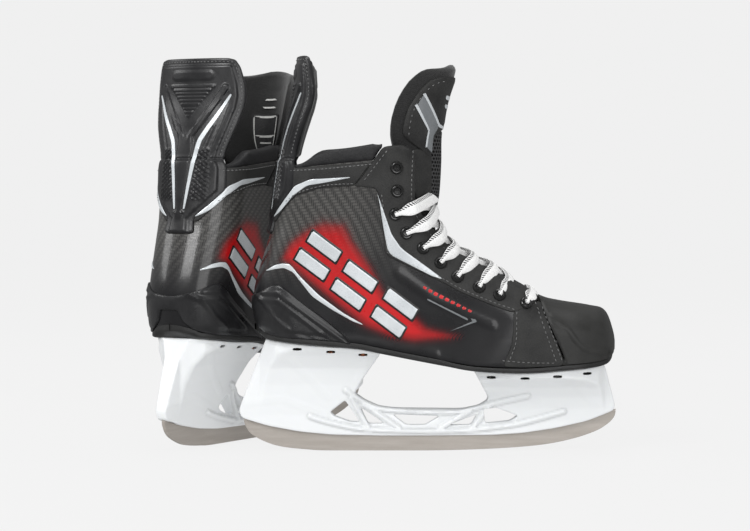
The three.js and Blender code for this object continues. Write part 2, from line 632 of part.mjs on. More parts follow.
function lace() {
  const last = EYELETS.length - 1;
  let cord = laceStrand(-1, last, last, 4.6);
  for (let i = last; i > LACED_FROM; i--) {
    cord = cord.add(laceStrand(1, i, i - 1, 5)).add(laceStrand(-1, i, i - 1, 7.2));
  }
  return cord;
}

// ---- the pair ----
const finish = (color, roughness, metalness = 0) => ({ color, roughness, metalness });
const COMPOSITE = finish(0x1b1b1c, 0.3);
const MOULDED = finish(0x2b2b2b, 0.5);
const PANEL = finish(0x202020, 0.5);
const FOAM = finish(0x19191a, 0.8);
const FELT = finish(0x222222, 0.95);
const METAL = finish(0x151515, 0.35, 0.8);

function pieces() {
  return {
    quarter_shell: [quarterShell(), COMPOSITE],
    outsole: [drilled(outsole()), MOULDED],
    toe_cap: [toeCap(), MOULDED],
    toe_vamp_outer: [sidePanel(-1, VAMP_OUTLINE), PANEL],
    toe_vamp_inner: [sidePanel(1, VAMP_OUTLINE), PANEL],
    heel_counter: [heelCounter(), MOULDED],
    eyestay_outer: [eyestay(-1), PANEL],
    eyestay_inner: [eyestay(1), PANEL],
    eyelets_outer: [eyeletRow(-1), METAL],
    eyelets_inner: [eyeletRow(1), METAL],
    collar_band_outer: [collarBand(-1), PANEL],
    collar_band_inner: [collarBand(1), PANEL],
    collar_foam: [collarFoam(), FOAM],
    liner: [liner(), FOAM],
    footbed: [footbed(), FOAM],
    tendon_guard: [tendonGuard(), MOULDED],
    tendon_guard_base: [tendonGuardBase(), MOULDED],
    tendon_guard_pad: [tendonGuardPad(), FOAM],
    tongue_base: [tongueBase(), FELT],
    tongue_top: [tongueTop(), FELT],
    tongue_plate: [tonguePlate(), PANEL],
    holder: [holder(), finish(0xf2f4f5, 0.3)],
    runner: [runner(), finish(0xa59e96, 0.35, 0.9)],
    runner_pin_rear: [pinRod(...RUNNER_PINS[0], 2, 4.5), METAL],
    runner_pin_front: [pinRod(...RUNNER_PINS[1], 2, 4.5), METAL],
    lace: [lace(), finish(0xededed, 0.9)],
    rivets_front: [rivetSet(rivetFront), finish(0xb8b0a0, 0.4, 0.9)],
    rivets_rear: [rivetSet(rivetRear), finish(0xb0683c, 0.4, 0.9)],
  };
}

function skate(prefix, parts, mirror) {
  const group = new THREE.Group();
  for (const [name, [solid, look]] of Object.entries(parts)) {
    const placed = mirror ? solid.mirror([0, 1, 0]) : solid;
    const mesh = new THREE.Mesh(geometryOf(placed), new THREE.MeshStandardMaterial(look));
    mesh.name = `${prefix}_${name}`;
    group.add(mesh);
  }
  return group;
}

const parts = pieces();
const right = skate('right', parts, false);
const left = skate('left', parts, true);
const turn = THREE.MathUtils.degToRad(LEFT_TURN);
left.rotation.z = turn;
left.position.set(LEFT_PLACE[0] - LEFT_PIVOT_X * Math.cos(turn),
  LEFT_PLACE[1] - LEFT_PIVOT_X * Math.sin(turn), 0);

const pair = new THREE.Group();
pair.add(right, left);
pair.position.set(-PAIR_CENTRE[0], -PAIR_CENTRE[1], 0);
export default pair;
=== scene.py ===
"""Looks of a pair of laced ice hockey skates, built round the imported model.

Every shape is worked out once, in a skate's own frame in millimetres: x runs from the back of
the heel to the toe, y across (the outer side is negative) and z up from the ice. Each shape is
then placed twice in the row frame, in metres: as the right skate, and mirrored as the left."""
import json
import math

import bpy
import numpy as np
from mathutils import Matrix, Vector
from mathutils.geometry import delaunay_2d_cdt


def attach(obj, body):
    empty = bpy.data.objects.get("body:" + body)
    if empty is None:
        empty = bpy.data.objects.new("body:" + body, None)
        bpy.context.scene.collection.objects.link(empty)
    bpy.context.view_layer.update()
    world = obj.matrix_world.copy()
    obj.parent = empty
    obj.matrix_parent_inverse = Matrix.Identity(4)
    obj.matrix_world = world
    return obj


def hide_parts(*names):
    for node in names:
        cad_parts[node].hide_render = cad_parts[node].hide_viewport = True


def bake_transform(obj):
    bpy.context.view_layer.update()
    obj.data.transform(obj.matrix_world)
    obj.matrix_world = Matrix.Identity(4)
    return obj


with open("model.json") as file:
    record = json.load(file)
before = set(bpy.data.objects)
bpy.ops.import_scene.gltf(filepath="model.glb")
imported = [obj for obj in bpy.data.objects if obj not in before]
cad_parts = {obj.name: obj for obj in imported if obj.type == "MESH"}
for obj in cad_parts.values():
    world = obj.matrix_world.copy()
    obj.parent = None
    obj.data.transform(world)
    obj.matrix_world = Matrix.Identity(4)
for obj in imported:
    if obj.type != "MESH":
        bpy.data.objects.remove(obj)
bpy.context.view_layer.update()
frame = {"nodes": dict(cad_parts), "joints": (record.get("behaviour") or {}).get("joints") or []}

MM = 0.001
OUTER, INNER = -1, 1
SIDES = {"outer": OUTER, "inner": INNER}

# ---- the boot's form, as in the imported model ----
FAN_X, FAN_Z = 330, 290            # the side view is measured by angle and radius about here
OUTER_LINE = [(300, 84), (291, 74), (254, 70), (221, 68), (183, 69.5), (159, 73.5), (129, 79),
              (103, 84), (84, 87.5), (46, 90.5), (11.5, 94.5), (5, 99), (1.5, 110), (0, 127),
              (1, 138), (5, 153), (12, 176), (17, 194), (21, 222), (25, 250), (31, 278),
              (35, 300), (38, 345)]
CREST_LINE = [(300.5, 88), (298.5, 100), (292, 116), (280, 120), (255, 124), (240, 127.5),
              (225, 136), (200, 149), (184, 157.5), (170, 165), (160, 173), (152, 186),
              (147, 200), (146, 216), (147, 235), (148, 252), (151, 285), (155, 345)]
# half-widths of the body and of its crest, and the depth between them, by fan angle
BODY_HALF = [(98, 46), (111, 46.5), (117, 47), (123, 46), (129, 43), (135, 39.5), (141, 37),
             (147, 35.5), (153, 36.5), (158, 38), (164, 40), (170, 43), (178, 48), (196, 51)]
CREST_HALF = [(98, 0), (114, 0), (119, 10), (122, 18), (140, 18), (150, 12), (196, 8)]
CREST_DEPTH = [(98, 26), (112, 27), (140, 30), (155, 32), (196, 34)]
HEEL_DEPTH = [(84, 33), (180, 33), (240, 34), (290, 36), (345, 36)]    # by height
TOE_X, TOE_DEPTH = 300.6, 40
TOE_SWING, SWING_FROM, SWING_SPAN = 6, 130, 170    # the toe leans to the inner side
TUCK, TUCK_SPAN = 0.05, 6          # the share by which the side draws in at its outer line
CREST_POWER, HEEL_POWER = 2.2, 2.0
SHELL_WALL, SOLE_THICK = 3, 4
HEEL_WRAP = 42                     # the heel unrolled: millimetres to a radian round it

# ---- seams of the side view, as (x, z) ----
FACING_EDGE = [(129.5, 252), (133, 246.5), (133.5, 206.5), (143, 191), (155.5, 176),
               (168, 165.5), (183.5, 157.5), (200.5, 149), (215.5, 142.5), (230.5, 134),
               (235.6, 129)]
EYESTAY_REAR = [(107.5, 252.5), (98.5, 240), (89.5, 227.5), (83.5, 221), (101, 219.5),
                (104, 214.5), (107, 187.5), (109.5, 164.5), (133, 153), (154.5, 143),
                (171, 134), (197.5, 123), (213.5, 117.5), (231, 124)]
SHELL_FRONT = [(111, 251), (112, 217), (110.5, 196), (121, 177.5), (135.5, 165), (150, 152.5),
               (165, 140.5), (183, 132), (200, 125), (222, 118), (238.8, 119.3)]
TOE_SEAM = [(236.5, 129), (241.5, 113), (252, 90), (262, 60)]
VAMP_OUTLINE = [(214, 119), (213.8, 105), (212.5, 92), (208.5, 81.5), (205.5, 73.5),
                (222, 72.6), (257, 74), (250.8, 90), (240.5, 113), (236.8, 126.5),
                (231, 125.5), (222, 121.5)]
COLLAR_LINE = [(23.4, 236), (39.5, 236), (99.5, 242), (108, 252)]
COLLAR_TOP = [(23.8, 237), (36, 238), (43, 240), (55, 249), (75, 250), (97, 253.5),
              (107.5, 255.5)]
BAND_LOWER = [(17.5, 188.5), (27.5, 204), (37, 213.5), (57.5, 219.5), (83.5, 221)]
COUNTER_TOP = [(0.2, 139), (19, 140.5), (25.5, 138.5), (39.5, 126.5), (60, 112.5), (77.5, 97),
               (87, 84.5)]
EYELETS = [(118.5, 236), (119, 217), (117.5, 198), (126.5, 182.5), (140, 170), (154.5, 157.5),
           (168.5, 146.5), (186, 138), (202.5, 131.5), (224, 124.5)]
LACED_FROM = 2                     # the two top pairs of eyelets are left open
GUARD_HALF = [(181, 14.5), (193, 13), (205, 24), (217, 34), (236, 34), (242, 31.5), (250, 33),
              (270, 40), (285, 44), (296, 45), (306, 44), (320, 40.5), (326, 37), (328, 30)]
GUARD_HINGE = 243
GUARD_FLATTEN, GUARD_FLAT_SPAN = 0.26, (240, 275)   # how far it is flattened, by height
# by length along the tongue: x and z of its front, half-width, and how far its sides wrap back
TONGUE = [(231, 121, 16, 2), (216, 131, 18, 3), (198, 142, 20, 4), (180, 151, 22, 6),
          (164, 162, 23, 10), (153, 178, 25, 18), (151, 196, 25, 25), (154, 215, 27, 31),
          (155.5, 240, 28, 36), (156, 264, 40, 42), (160, 290, 43, 43), (167, 312, 38, 38),
          (168.5, 321, 30, 30)]
TONGUE_SPREAD, TONGUE_THICK = 1.2, 8

# ---- holder and runner ----
RUNNER_LOWER = [(-8.5, 27), (-7.5, 21.5), (-2, 13.5), (11.5, 6.5), (24.5, 3), (43.5, 1),
                (64.5, 0), (144.5, 0), (197.5, 1.5), (237.5, 4.5), (264.5, 9.5), (285.5, 16.5),
                (296.5, 23.5), (301, 29), (302, 35)]
RUNNER_EDGE = [(302, 35), (277.5, 25), (251, 19), (224.5, 15), (197.5, 13), (144.5, 12.5),
               (104.5, 12.5), (64.5, 13.5), (38, 16), (11.5, 21), (-8.5, 27)]
HOLDER_BACK = [(-10.5, 28.5), (-12.5, 34.5), (7.5, 86.5)]
HOLDER_ARCH = [(91, 61), (84, 48.5), (92, 43), (104.5, 37.5), (118, 35.8), (173.5, 35.2),
               (187, 37.8), (196, 43.5), (183.5, 67)]
HOLDER_WINDOWS = [
    [(63.5, 32.5), (76, 42.5), (79.5, 37.5), (88.5, 24), (80, 24.5), (67.5, 29)],
    [(89, 36.5), (95.5, 22.8), (109, 22.8)],
    [(115.5, 30.5), (155, 29), (143, 21.8), (127, 21.8)],
    [(162, 21.5), (186, 30.5), (181, 21.8)],
    [(191.5, 35), (202.5, 36), (220.5, 29.5), (213.5, 25), (193, 23)]]
REAR_FLANGE, FRONT_FLANGE = (10.5, 106), (181.5, 291.5)
REAR_FLARE = [(10, 5), (30, 6), (42, 8), (56, 11), (70, 16), (81, 24), (88, 31), (98, 32)]
FRONT_FLARE = [(5, 5), (25, 6.5), (36, 9), (46, 13), (55, 20), (61, 32), (64, 41), (80, 43)]
HEEL_PLAN = [(-13, 5), (5, 8), (11, 14), (19, 24), (32, 30), (60, 31), (112, 31)]
BALL_PLAN = [(176, 27), (190, 31), (215, 38), (238, 40.5), (258, 38.5), (275, 32), (286, 22),
             (292, 9), (304, 6)]
HOLDER_SPLIT = 140                 # x between the rear tower and the front one
TOWER_LEAST, BRIDGE_HALF = 4.5, 3.6
POCKET_DEPTH = 5.5                 # of the slots for the rivets' heads
RIVETS = {"front": [(196.5, 25), (224, 25), (250.5, 25), (275.5, 18)],
          "rear": [(37, 20), (64.5, 20), (91, 20)]}


# ---- curves and tables ----
def spline(points, count):
    """Catmull-Rom curve through the points: between two of them a cubic leaves and arrives
    with half the step between their neighbours. count places, evenly spaced by point."""
    p = np.asarray(points, float)
    t = np.linspace(0, len(p) - 1, count)
    i = np.minimum(t.astype(int), len(p) - 2)
    w = (t - i).reshape(-1, 1)
    before, start, end, after = (p[np.clip(i + k, 0, len(p) - 1)] for k in (-1, 0, 1, 2))
    leave, arrive = (end - before) / 2, (after - start) / 2
    return ((2 * start - 2 * end + leave + arrive) * w ** 3
            + (3 * end - 3 * start - 2 * leave - arrive) * w ** 2 + leave * w + start)


def table(points, count=240):
    """Columns of a smooth table through (key, value) points, in rising key order."""
    rows = spline(points, count)
    return rows[np.argsort(rows[:, 0], kind="stable")].T


def rounded(points, closed=True, step=2.0, ease=0.22):
    """Outline with its corners eased: each corner is cut at a share of its two edges twice
    over, then the line is laid out again in even steps."""
    line = np.asarray(points, float)
    for _ in range(2):
        after = np.roll(line, -1, 0)
        cut = np.stack([line * (1 - ease) + after * ease, line * ease + after * (1 - ease)], 1)
        cut = cut.reshape(-1, 2)
        line = cut if closed else np.vstack([line[:1], cut[1:-3], line[-1:]])
    return even(line, step, closed)


def even(line, step, closed=False):
    """The same line in even steps of about the given length."""
    line = np.asarray(line, float)
    if closed:
        line = np.vstack([line, line[:1]])
    run = np.concatenate([[0], np.cumsum(np.linalg.norm(np.diff(line, axis=0), axis=1))])
    count = max(int(round(run[-1] / step)), 3) + 1
    at = np.linspace(0, run[-1], count)
    placed = np.stack([np.interp(at, run, column) for column in line.T], 1)
    return placed[:-1] if closed else placed


def smoothstep(value, low, high):
    """0 below low, 1 above high, and 3s squared less 2s cubed between them."""
    s = np.clip((value - low) / (high - low), 0, 1)
    return s * s * (3 - 2 * s)


def unit(vectors):
    return vectors / np.maximum(np.linalg.norm(vectors, axis=-1, keepdims=True), 1e-9)


def distance(x, z, line, closed=False):
    """Shortest distance from each place to a line of straight runs: to the nearest point of
    each run, clipped to its ends, and the least of them."""
    a = np.asarray(line, float)
    b = np.roll(a, -1, 0) if closed else a[1:]
    a = a if closed else a[:-1]
    best = np.full(np.shape(x), 1e9)
    for (ax, az), (bx, bz) in zip(a, b):
        dx, dz = bx - ax, bz - az
        along = np.clip(((x - ax) * dx + (z - az) * dz) / max(dx * dx + dz * dz, 1e-9), 0, 1)
        best = np.minimum(best, np.hypot(x - ax - along * dx, z - az - along * dz))
    return best


def inside(x, z, loop):
    """True where a ray from the place crosses the loop an odd number of times."""
    crossed = np.zeros(np.shape(x), bool)
    for (ax, az), (bx, bz) in zip(loop, np.roll(loop, -1, 0)):
        if az != bz:
            crossed ^= ((az > z) != (bz > z)) & (x < ax + (z - az) * (bx - ax) / (bz - az))
    return crossed


def ridge(x, z, line, half, height, level=0.35):
    """A rounded rib along a line: level over a share of its half-width, then a smooth fall."""
    return height * (1 - smoothstep(distance(x, z, line), half * level, half))


def rounding(away, reach, drop):
    """How far a rounded edge has fallen: a quarter ellipse over reach, down by drop at 0."""
    share = np.clip(1 - away / reach, 0, 1)
    return drop * (1 - np.sqrt(1 - share ** 2))


# ---- the form ----
def to_fan(x, z):
    """Angle in degrees and radius of a place of the side view about the fan's middle."""
    angle = np.degrees(np.arctan2(FAN_Z - z, x - FAN_X)) % 360
    return angle, np.hypot(x - FAN_X, z - FAN_Z)


def from_fan(angle, radius):
    return FAN_X + radius * np.cos(np.radians(angle)), FAN_Z - radius * np.sin(np.radians(angle))


def fan_table(line):
    """Columns of angle and radius along a smooth line of the side view, in rising angle."""
    rows = np.stack(to_fan(*spline(line, 321).T), 1)
    return rows[np.argsort(rows[:, 0])].T


OUTER_RADIUS, CREST_RADIUS = fan_table(OUTER_LINE), fan_table(CREST_LINE)
BODY_TABLE, CREST_TABLE, DEPTH_TABLE = table(BODY_HALF), table(CREST_HALF), table(CREST_DEPTH)
HEEL_TABLE = table(HEEL_DEPTH)
BACK_LINE = spline([(z, x) for x, z in OUTER_LINE[10:]], 241).T
SOLE_LINE = table(OUTER_LINE[:11][::-1])


def sole_z(x):
    """Height of the sole's lower edge."""
    return np.interp(x, *SOLE_LINE)


def back_x(z):
    """Where the back of the heel is at a height."""
    return np.interp(z, *BACK_LINE)


def round_off(away, depth, power):
    """Superellipse quarter: (1 - (1 - s)^p)^(1/p), with s the share of the depth."""
    s = np.clip(away / depth, 0, 1)
    return (1 - (1 - s) ** power) ** (1 / power)


def half_width(x, z):
    """Half the boot's width: the crest's half-width growing to the body's as a superellipse
    of the depth below the crest, times superellipses of the distance to heel and toe."""
    angle, radius = to_fan(x, z)
    crest = np.interp(angle, *CREST_TABLE)
    grown = round_off(radius - np.interp(angle, *CREST_RADIUS),
                      np.interp(angle, *DEPTH_TABLE), CREST_POWER)
    width = crest + (np.interp(angle, *BODY_TABLE) - crest) * grown
    heel = round_off(x - back_x(z), np.interp(z, *HEEL_TABLE), HEEL_POWER)
    toe = round_off(TOE_X - x, TOE_DEPTH, CREST_POWER)
    to_edge = np.clip((np.interp(angle, *OUTER_RADIUS) - radius) / TUCK_SPAN, 0, 1)
    return width * heel * toe * (1 - TUCK * (1 - to_edge) ** 2)


def centre_y(x):
    """The boot's centre line, which swings to the inner side as a square towards the toe."""
    return TOE_SWING * np.clip((x - SWING_FROM) / SWING_SPAN, 0, 1) ** 2


class Surface:
    """A skin over which panels are laid: place(u, v) gives its points, and its normal is the
    cross product of small steps in u and in v, times a sense that makes it face outwards."""

    def __init__(self, place, sense=1, side_view=None):
        self.place, self.sense = place, sense
        self.side_view = side_view or (lambda u, v: (u, v))

    def normal(self, u, v, step=0.2):
        along = self.place(u + step, v) - self.place(u - step, v)
        up = self.place(u, v + step) - self.place(u, v - step)
        return unit(np.cross(along, up)) * self.sense

    def at(self, u, v, rise=0.0):
        u, v = np.asarray(u, float), np.asarray(v, float)
        lift = np.broadcast_to(np.asarray(rise, float), u.shape)[..., None]
        return self.place(u, v) + self.normal(u, v) * lift


def side_surface(side):
    """The side of the boot over its side view: y is the centre line and half the width."""
    return Surface(lambda x, z: np.stack([x, centre_y(x) + side * half_width(x, z), z], -1),
                   sense=-side)


def heel_x(u, z):
    """The side view's x of the unrolled heel: an ellipse's 1 - cos to its side, and on."""
    depth = np.interp(z, *HEEL_TABLE)
    turn = np.abs(u) / HEEL_WRAP
    bent = 1 - np.cos(np.minimum(turn, math.pi / 2))
    return back_x(z) + depth * (bent + np.maximum(turn - math.pi / 2, 0))


def heel_u(x, z):
    """How far round the heel a place of the side view is: the inverse of heel_x."""
    share = (x - back_x(z)) / np.interp(z, *HEEL_TABLE)
    bent = np.arccos(np.clip(1 - share, -1, 1))
    return HEEL_WRAP * np.where(share < 1, bent, math.pi / 2 + share - 1)


def heel_place(u, z):
    """The boot's skin by distance round the heel and height: a positive u is the outer side."""
    x = heel_x(u, z)
    return np.stack([x, centre_y(x) - np.sign(u) * half_width(x, z), z], -1)


HEEL = Surface(heel_place, side_view=lambda u, z: (heel_x(u, z), z))
SIDE = {OUTER: side_surface(OUTER), INNER: side_surface(INNER)}


def unroll(line, sign=1):
    line = np.asarray(line, float)
    return np.stack([sign * heel_u(line[:, 0], line[:, 1]), line[:, 1]], 1)


def round_heel(half, clear=0.5):
    """An outline that goes round the heel: its outer half unrolled, without the points nearer
    the middle than clear, and the same mirrored."""
    outer = unroll(half)
    outer = outer[outer[:, 0] > clear]
    return np.vstack([outer, outer[::-1] * [-1, 1]])


def heel_loop(line, sign):
    """A closed line of the side view, unrolled to one side of the heel in the same sense."""
    return unroll(line, sign)[::sign]


def guard_place(u, z):
    """The back of the boot by distance across: the heel unrolled by the arcsine of it, and
    flattened by a share of its depth above the collar."""
    depth = np.interp(z, *HEEL_TABLE)
    turn = np.arcsin(np.clip(u / half_width(back_x(z) + depth, z), -0.999, 0.999))
    points = heel_place(HEEL_WRAP * turn, z)
    points[..., 0] -= GUARD_FLATTEN * depth * (1 - np.cos(turn)) * smoothstep(z, *GUARD_FLAT_SPAN)
    return points


GUARD = Surface(guard_place)
TONGUE_CURVE = spline(TONGUE, 600)
TONGUE_RUN = np.linspace(0, 1, len(TONGUE_CURVE))
TONGUE_U, TONGUE_V = 30, 230       # millimetres to a unit across and along the tongue


def tongue_place(u, v):
    """Round the tongue: across is sin(su)/sin(s) of its half-width, and it wraps back by
    (1 - cos(su))/(1 - cos(s)) of its wrap, square to its front's line."""
    u, v = u / TONGUE_U, v / TONGUE_V
    x, z, half, wrap = (np.interp(v, TONGUE_RUN, column) for column in TONGUE_CURVE.T)
    ahead = [np.interp(v + 0.004, TONGUE_RUN, TONGUE_CURVE[:, k])
             - np.interp(v - 0.004, TONGUE_RUN, TONGUE_CURVE[:, k]) for k in (0, 1)]
    length = np.hypot(*ahead)
    back = wrap * (1 - np.cos(u * TONGUE_SPREAD)) / (1 - math.cos(TONGUE_SPREAD))
    across = half * np.sin(u * TONGUE_SPREAD) / math.sin(TONGUE_SPREAD)
    return np.stack([x - ahead[1] / length * back, -across, z + ahead[0] / length * back], -1)


TONGUE_SKIN = Surface(tongue_place, sense=-1)


# ---- meshes ----
class Shape:
    """Points in millimetres with faces, a map for patterns, and attributes of its points."""

    def __init__(self, points, faces, pattern=None, **marks):
        self.points, self.faces = np.asarray(points, float).reshape(-1, 3), faces
        self.pattern = self.points[:, [0, 2]] if pattern is None else pattern
        self.marks = marks


def joined(shapes):
    """Several shapes as one: their points end to end, with their faces counted on."""
    starts = np.cumsum([0] + [len(s.points) for s in shapes])
    faces = [f + start for s, start in zip(shapes, starts) for f in s.faces]
    marks = {name: np.concatenate([s.marks[name] for s in shapes]) for name in shapes[0].marks}
    return Shape(np.concatenate([s.points for s in shapes]), faces,
                 np.concatenate([s.pattern for s in shapes]), **marks)


CUT_GROW = 0.35                    # from a cut to the second line outside it
LATTICE_ROW = 0.866                # between two rows of a triangular lattice


def fill(loops, step, rings=(0.45, 1.2), cuts=()):
    """Places and triangles that fill a plane outline with holes: the outline in even steps,
    rings of points just inside it, and a triangular lattice over the rest. A point that is too
    near an outline for its ring, or to a ring for the lattice, is left out. Each cut is a
    closed line that the triangles keep to, with a second one just outside it."""
    loops = [even(loop, step, True) for loop in loops]
    kept = [line for cut in cuts
            for line in (cut, cut + unit(cut - cut.mean(0)) * CUT_GROW)]
    edges, start = [], 0
    for line in loops + kept:
        here = np.arange(len(line))
        edges.append(np.stack([here, (here + 1) % len(line)], 1) + start)
        start += len(line)

    def within(points):
        keep = inside(*points.T, loops[0])
        for hole in loops[1:]:
            keep &= ~inside(*points.T, hole)
        return keep

    def well_in(points, gap):
        points = points[within(points)]
        away = np.min([distance(*points.T, loop, True) for loop in loops], 0)
        return points[away > gap]

    inner = []
    for loop in loops:
        run = np.roll(loop, -1, 0) - np.roll(loop, 1, 0)
        square = unit(np.stack([-run[:, 1], run[:, 0]], 1))
        inner += [well_in(loop + square * ring * way, ring * 0.85)
                  for ring in rings for way in (1, -1)]
    low, high = loops[0].min(0), loops[0].max(0)
    rows = np.arange(low[1], high[1], step * LATTICE_ROW)
    columns = np.arange(low[0], high[0] + step, step)
    lattice = np.stack(np.meshgrid(columns, rows), -1)
    lattice[1::2, :, 0] += step / 2
    lattice = well_in(lattice.reshape(-1, 2), (rings[-1] if rings else 0) + step * 0.55)
    if cuts:
        clear = np.min([distance(*lattice.T, line, True) for line in kept], 0) > step * 0.4
        lattice = lattice[clear & ~np.any([inside(*lattice.T, line) for line in kept], 0)]
    places = np.concatenate(loops + kept + inner + [lattice])
    found = delaunay_2d_cdt(places.tolist(), np.concatenate(edges).tolist(), [], 0, 1e-4)
    places, faces = np.array(found[0], float)[:, :2], np.array(found[2], int)
    faces = faces[within(places[faces].mean(1))]
    a, b, c = (places[faces[:, k]] for k in range(3))
    area = (b - a)[:, 0] * (c - a)[:, 1] - (b - a)[:, 1] * (c - a)[:, 0]
    faces[area < 0] = faces[area < 0][:, ::-1]
    return places, faces[np.abs(area) > 1e-7]


def rim_of(faces):
    """The edges that only one face has, in that face's own direction."""
    edges = np.concatenate([faces[:, [k, (k + 1) % faces.shape[1]]]
                            for k in range(faces.shape[1])])
    _, first, count = np.unique(np.sort(edges, 1), axis=0, return_index=True,
                                return_counts=True)
    return edges[first[count == 1]]


def two_sheets(front, back, faces, pattern, **marks):
    """A closed solid: the front sheet, the back sheet turned round, and a rim between."""
    count = len(front)
    rim = rim_of(faces)
    wall = np.stack([rim[:, 1], rim[:, 0], rim[:, 0] + count, rim[:, 1] + count], 1)
    marks = {name: np.concatenate([m, m]) for name, m in marks.items()}
    return Shape(np.concatenate([front, back]), [faces, faces[:, ::-1] + count, wall],
                 np.concatenate([pattern, pattern]), **marks)


def panel(surface, outline, rise, under, step=2.2, edge=0.8, relief=None, round_over=1.1,
          **marks):
    """A panel on a surface: its face stands rise above it plus a relief, falls by edge within
    round_over of its outline, and its back is at under. The relief and the marks, which are
    attributes of the mesh, go by the side view."""
    places, faces = fill([outline], step)
    u, v = places.T
    view = surface.side_view(u, v)
    away = distance(u, v, outline, True)
    height = rise - rounding(away, round_over, edge)
    if relief:
        height = height + relief(*view) * smoothstep(away, 0, 1.5)
    if surface.sense < 0:
        faces = faces[:, ::-1]
    found = {name: mark(*view) for name, mark in marks.items()}
    return two_sheets(surface.at(u, v, height), surface.at(u, v, under), faces, places, **found)


def film(surface, outline, rise, step=2.4, thick=0.25):
    """A thin printed shape just above the surface, with its back sunk below."""
    return panel(surface, outline, rise + thick, rise - 0.4, step=step, edge=thick * 0.8,
                 round_over=0.4)


def grid_faces(rows, columns, closed=False):
    """Quads of a grid of points in rows, each row joined up with its own start if closed."""
    i = np.arange(rows - 1)[:, None]
    j = np.arange(columns if closed else columns - 1)[None]
    i1, j1 = i + 1, (j + 1) % columns
    return np.stack(np.broadcast_arrays(i * columns + j, i * columns + j1, i1 * columns + j1,
                                        i1 * columns + j), -1).reshape(-1, 4)


def tube(loops, pattern=None, folded=False):
    """A closed skin over loops of points, its two ends closed by fans to their middles. A
    folded tube's last loop is closed flat, by faces between its front and its back."""
    rows, columns = loops.shape[:2]
    last = (rows - 1) * columns
    around = np.arange(columns)
    after = (around + 1) % columns
    tips = [rows * columns, rows * columns + 1]
    caps = [np.stack([np.full(columns, tips[0]), after, around], 1)]
    if folded:
        here = np.arange(columns // 2)
        across = np.stack([here, here + 1, -here - 1, -here], 1) % columns + last
        caps += [across[1:-1], across[:1, :3], across[-1:, [0, 1, 3]]]
    else:
        caps.append(np.stack([np.full(columns, tips[1]), around + last, after + last], 1))
    middles = [loops[0].mean(0)] if folded else [loops[0].mean(0), loops[-1].mean(0)]
    points = np.vstack([loops.reshape(-1, 3), *middles])
    if pattern is not None:
        pattern = np.vstack([pattern.reshape(-1, 2), pattern[0].mean(0),
                             pattern[-1].mean(0)])[:len(points)]
    return Shape(points, [grid_faces(rows, columns, closed=True), *caps], pattern)


def lathes(centres, axes, profile, around=20):
    """One turned shape at many places: each profile point (radius, height) is carried round
    its axis, so a point is centre + radius (a cos + b sin) + height axis."""
    centres, axes = np.asarray(centres, float), unit(np.asarray(axes, float))
    seed = np.where(np.abs(axes[:, 2:]) < 0.8, [[0, 0, 1.0]], [[1.0, 0, 0]])
    a = unit(np.cross(axes, seed))
    b = np.cross(axes, a)
    turn = np.linspace(0, 2 * math.pi, around, endpoint=False)
    radius, height = np.asarray(profile, float).T
    ring = (a[:, None, None] * np.cos(turn)[None, None, :, None]
            + b[:, None, None] * np.sin(turn)[None, None, :, None])
    points = (centres[:, None, None] + ring * radius[None, :, None, None]
              + axes[:, None, None] * height[None, :, None, None])
    return joined([tube(one) for one in points])


def stitches(surface, line, rise, length=2.5, gap=3.9, width=0.75, depth=0.5, bend=True):
    """A row of sewn stitches: a long drop of two end points and two squares of four, carried
    to each place along the line by its direction, its normal and their cross product."""
    if bend:
        line = spline(line, 40 * len(line))
    places = even(line, gap)
    ahead = np.gradient(places, axis=0)
    u, v = places.T
    centre, normal = surface.at(u, v, rise), surface.normal(u, v)
    near = surface.at(u + ahead[:, 0] * 0.1, v + ahead[:, 1] * 0.1, rise)
    along = unit(near - centre)
    across = np.cross(normal, along)
    long, wide = length / 2, width / 2
    drop = np.array([(-long, 0, 0)] + [(s * long * 0.55, a * wide, b * depth) for s in (-1, 1)
                                       for a, b in ((-1, 0), (0, 1), (1, 0), (0, -0.6))]
                    + [(long, 0, 0)])
    points = (centre[:, None] + along[:, None] * drop[None, :, :1]
              + across[:, None] * drop[None, :, 1:2] + normal[:, None] * drop[None, :, 2:])
    k = np.arange(4)
    k1 = (k + 1) % 4
    first = np.stack([np.zeros(4, int), 1 + k, 1 + k1], 1)
    last = np.stack([np.full(4, 9), 5 + k1, 5 + k], 1)
    side = np.stack([1 + k, 5 + k, 5 + k1, 1 + k1], 1)
    start = np.arange(len(places)) * 10
    tris = (np.concatenate([first, last])[None] + start[:, None, None]).reshape(-1, 3)
    quads = (side[None] + start[:, None, None]).reshape(-1, 4)
    return Shape(points, [tris, quads])


def plate(outline, holes, half, step=2.2, edge=1.2, cuts=(), **marks):
    """A plate seen from the side, mirrored about y 0: its half thickness by place, rounded
    over at its outline and at its holes by a quarter circle, and nowhere under 0.4. Cuts are
    loops that the faces keep to, and marks are attributes by place."""
    places, faces = fill([outline, *holes], step, rings=(0.3, 0.8, 1.6), cuts=cuts)
    x, z = places.T
    away = np.min([distance(x, z, loop, True) for loop in (outline, *holes)], 0)
    y = np.maximum(half(x, z) - rounding(away, edge, edge), 0.4)
    found = {name: mark(x, z) for name, mark in marks.items()}
    return two_sheets(np.stack([x, -y, z], 1), np.stack([x, y, z], 1), faces, places, **found)


# ---- finishes ----
def rgba(colour):
    """A colour for a socket. A single number is a grey."""
    return (*np.broadcast_to(colour, 3).tolist(), 1)


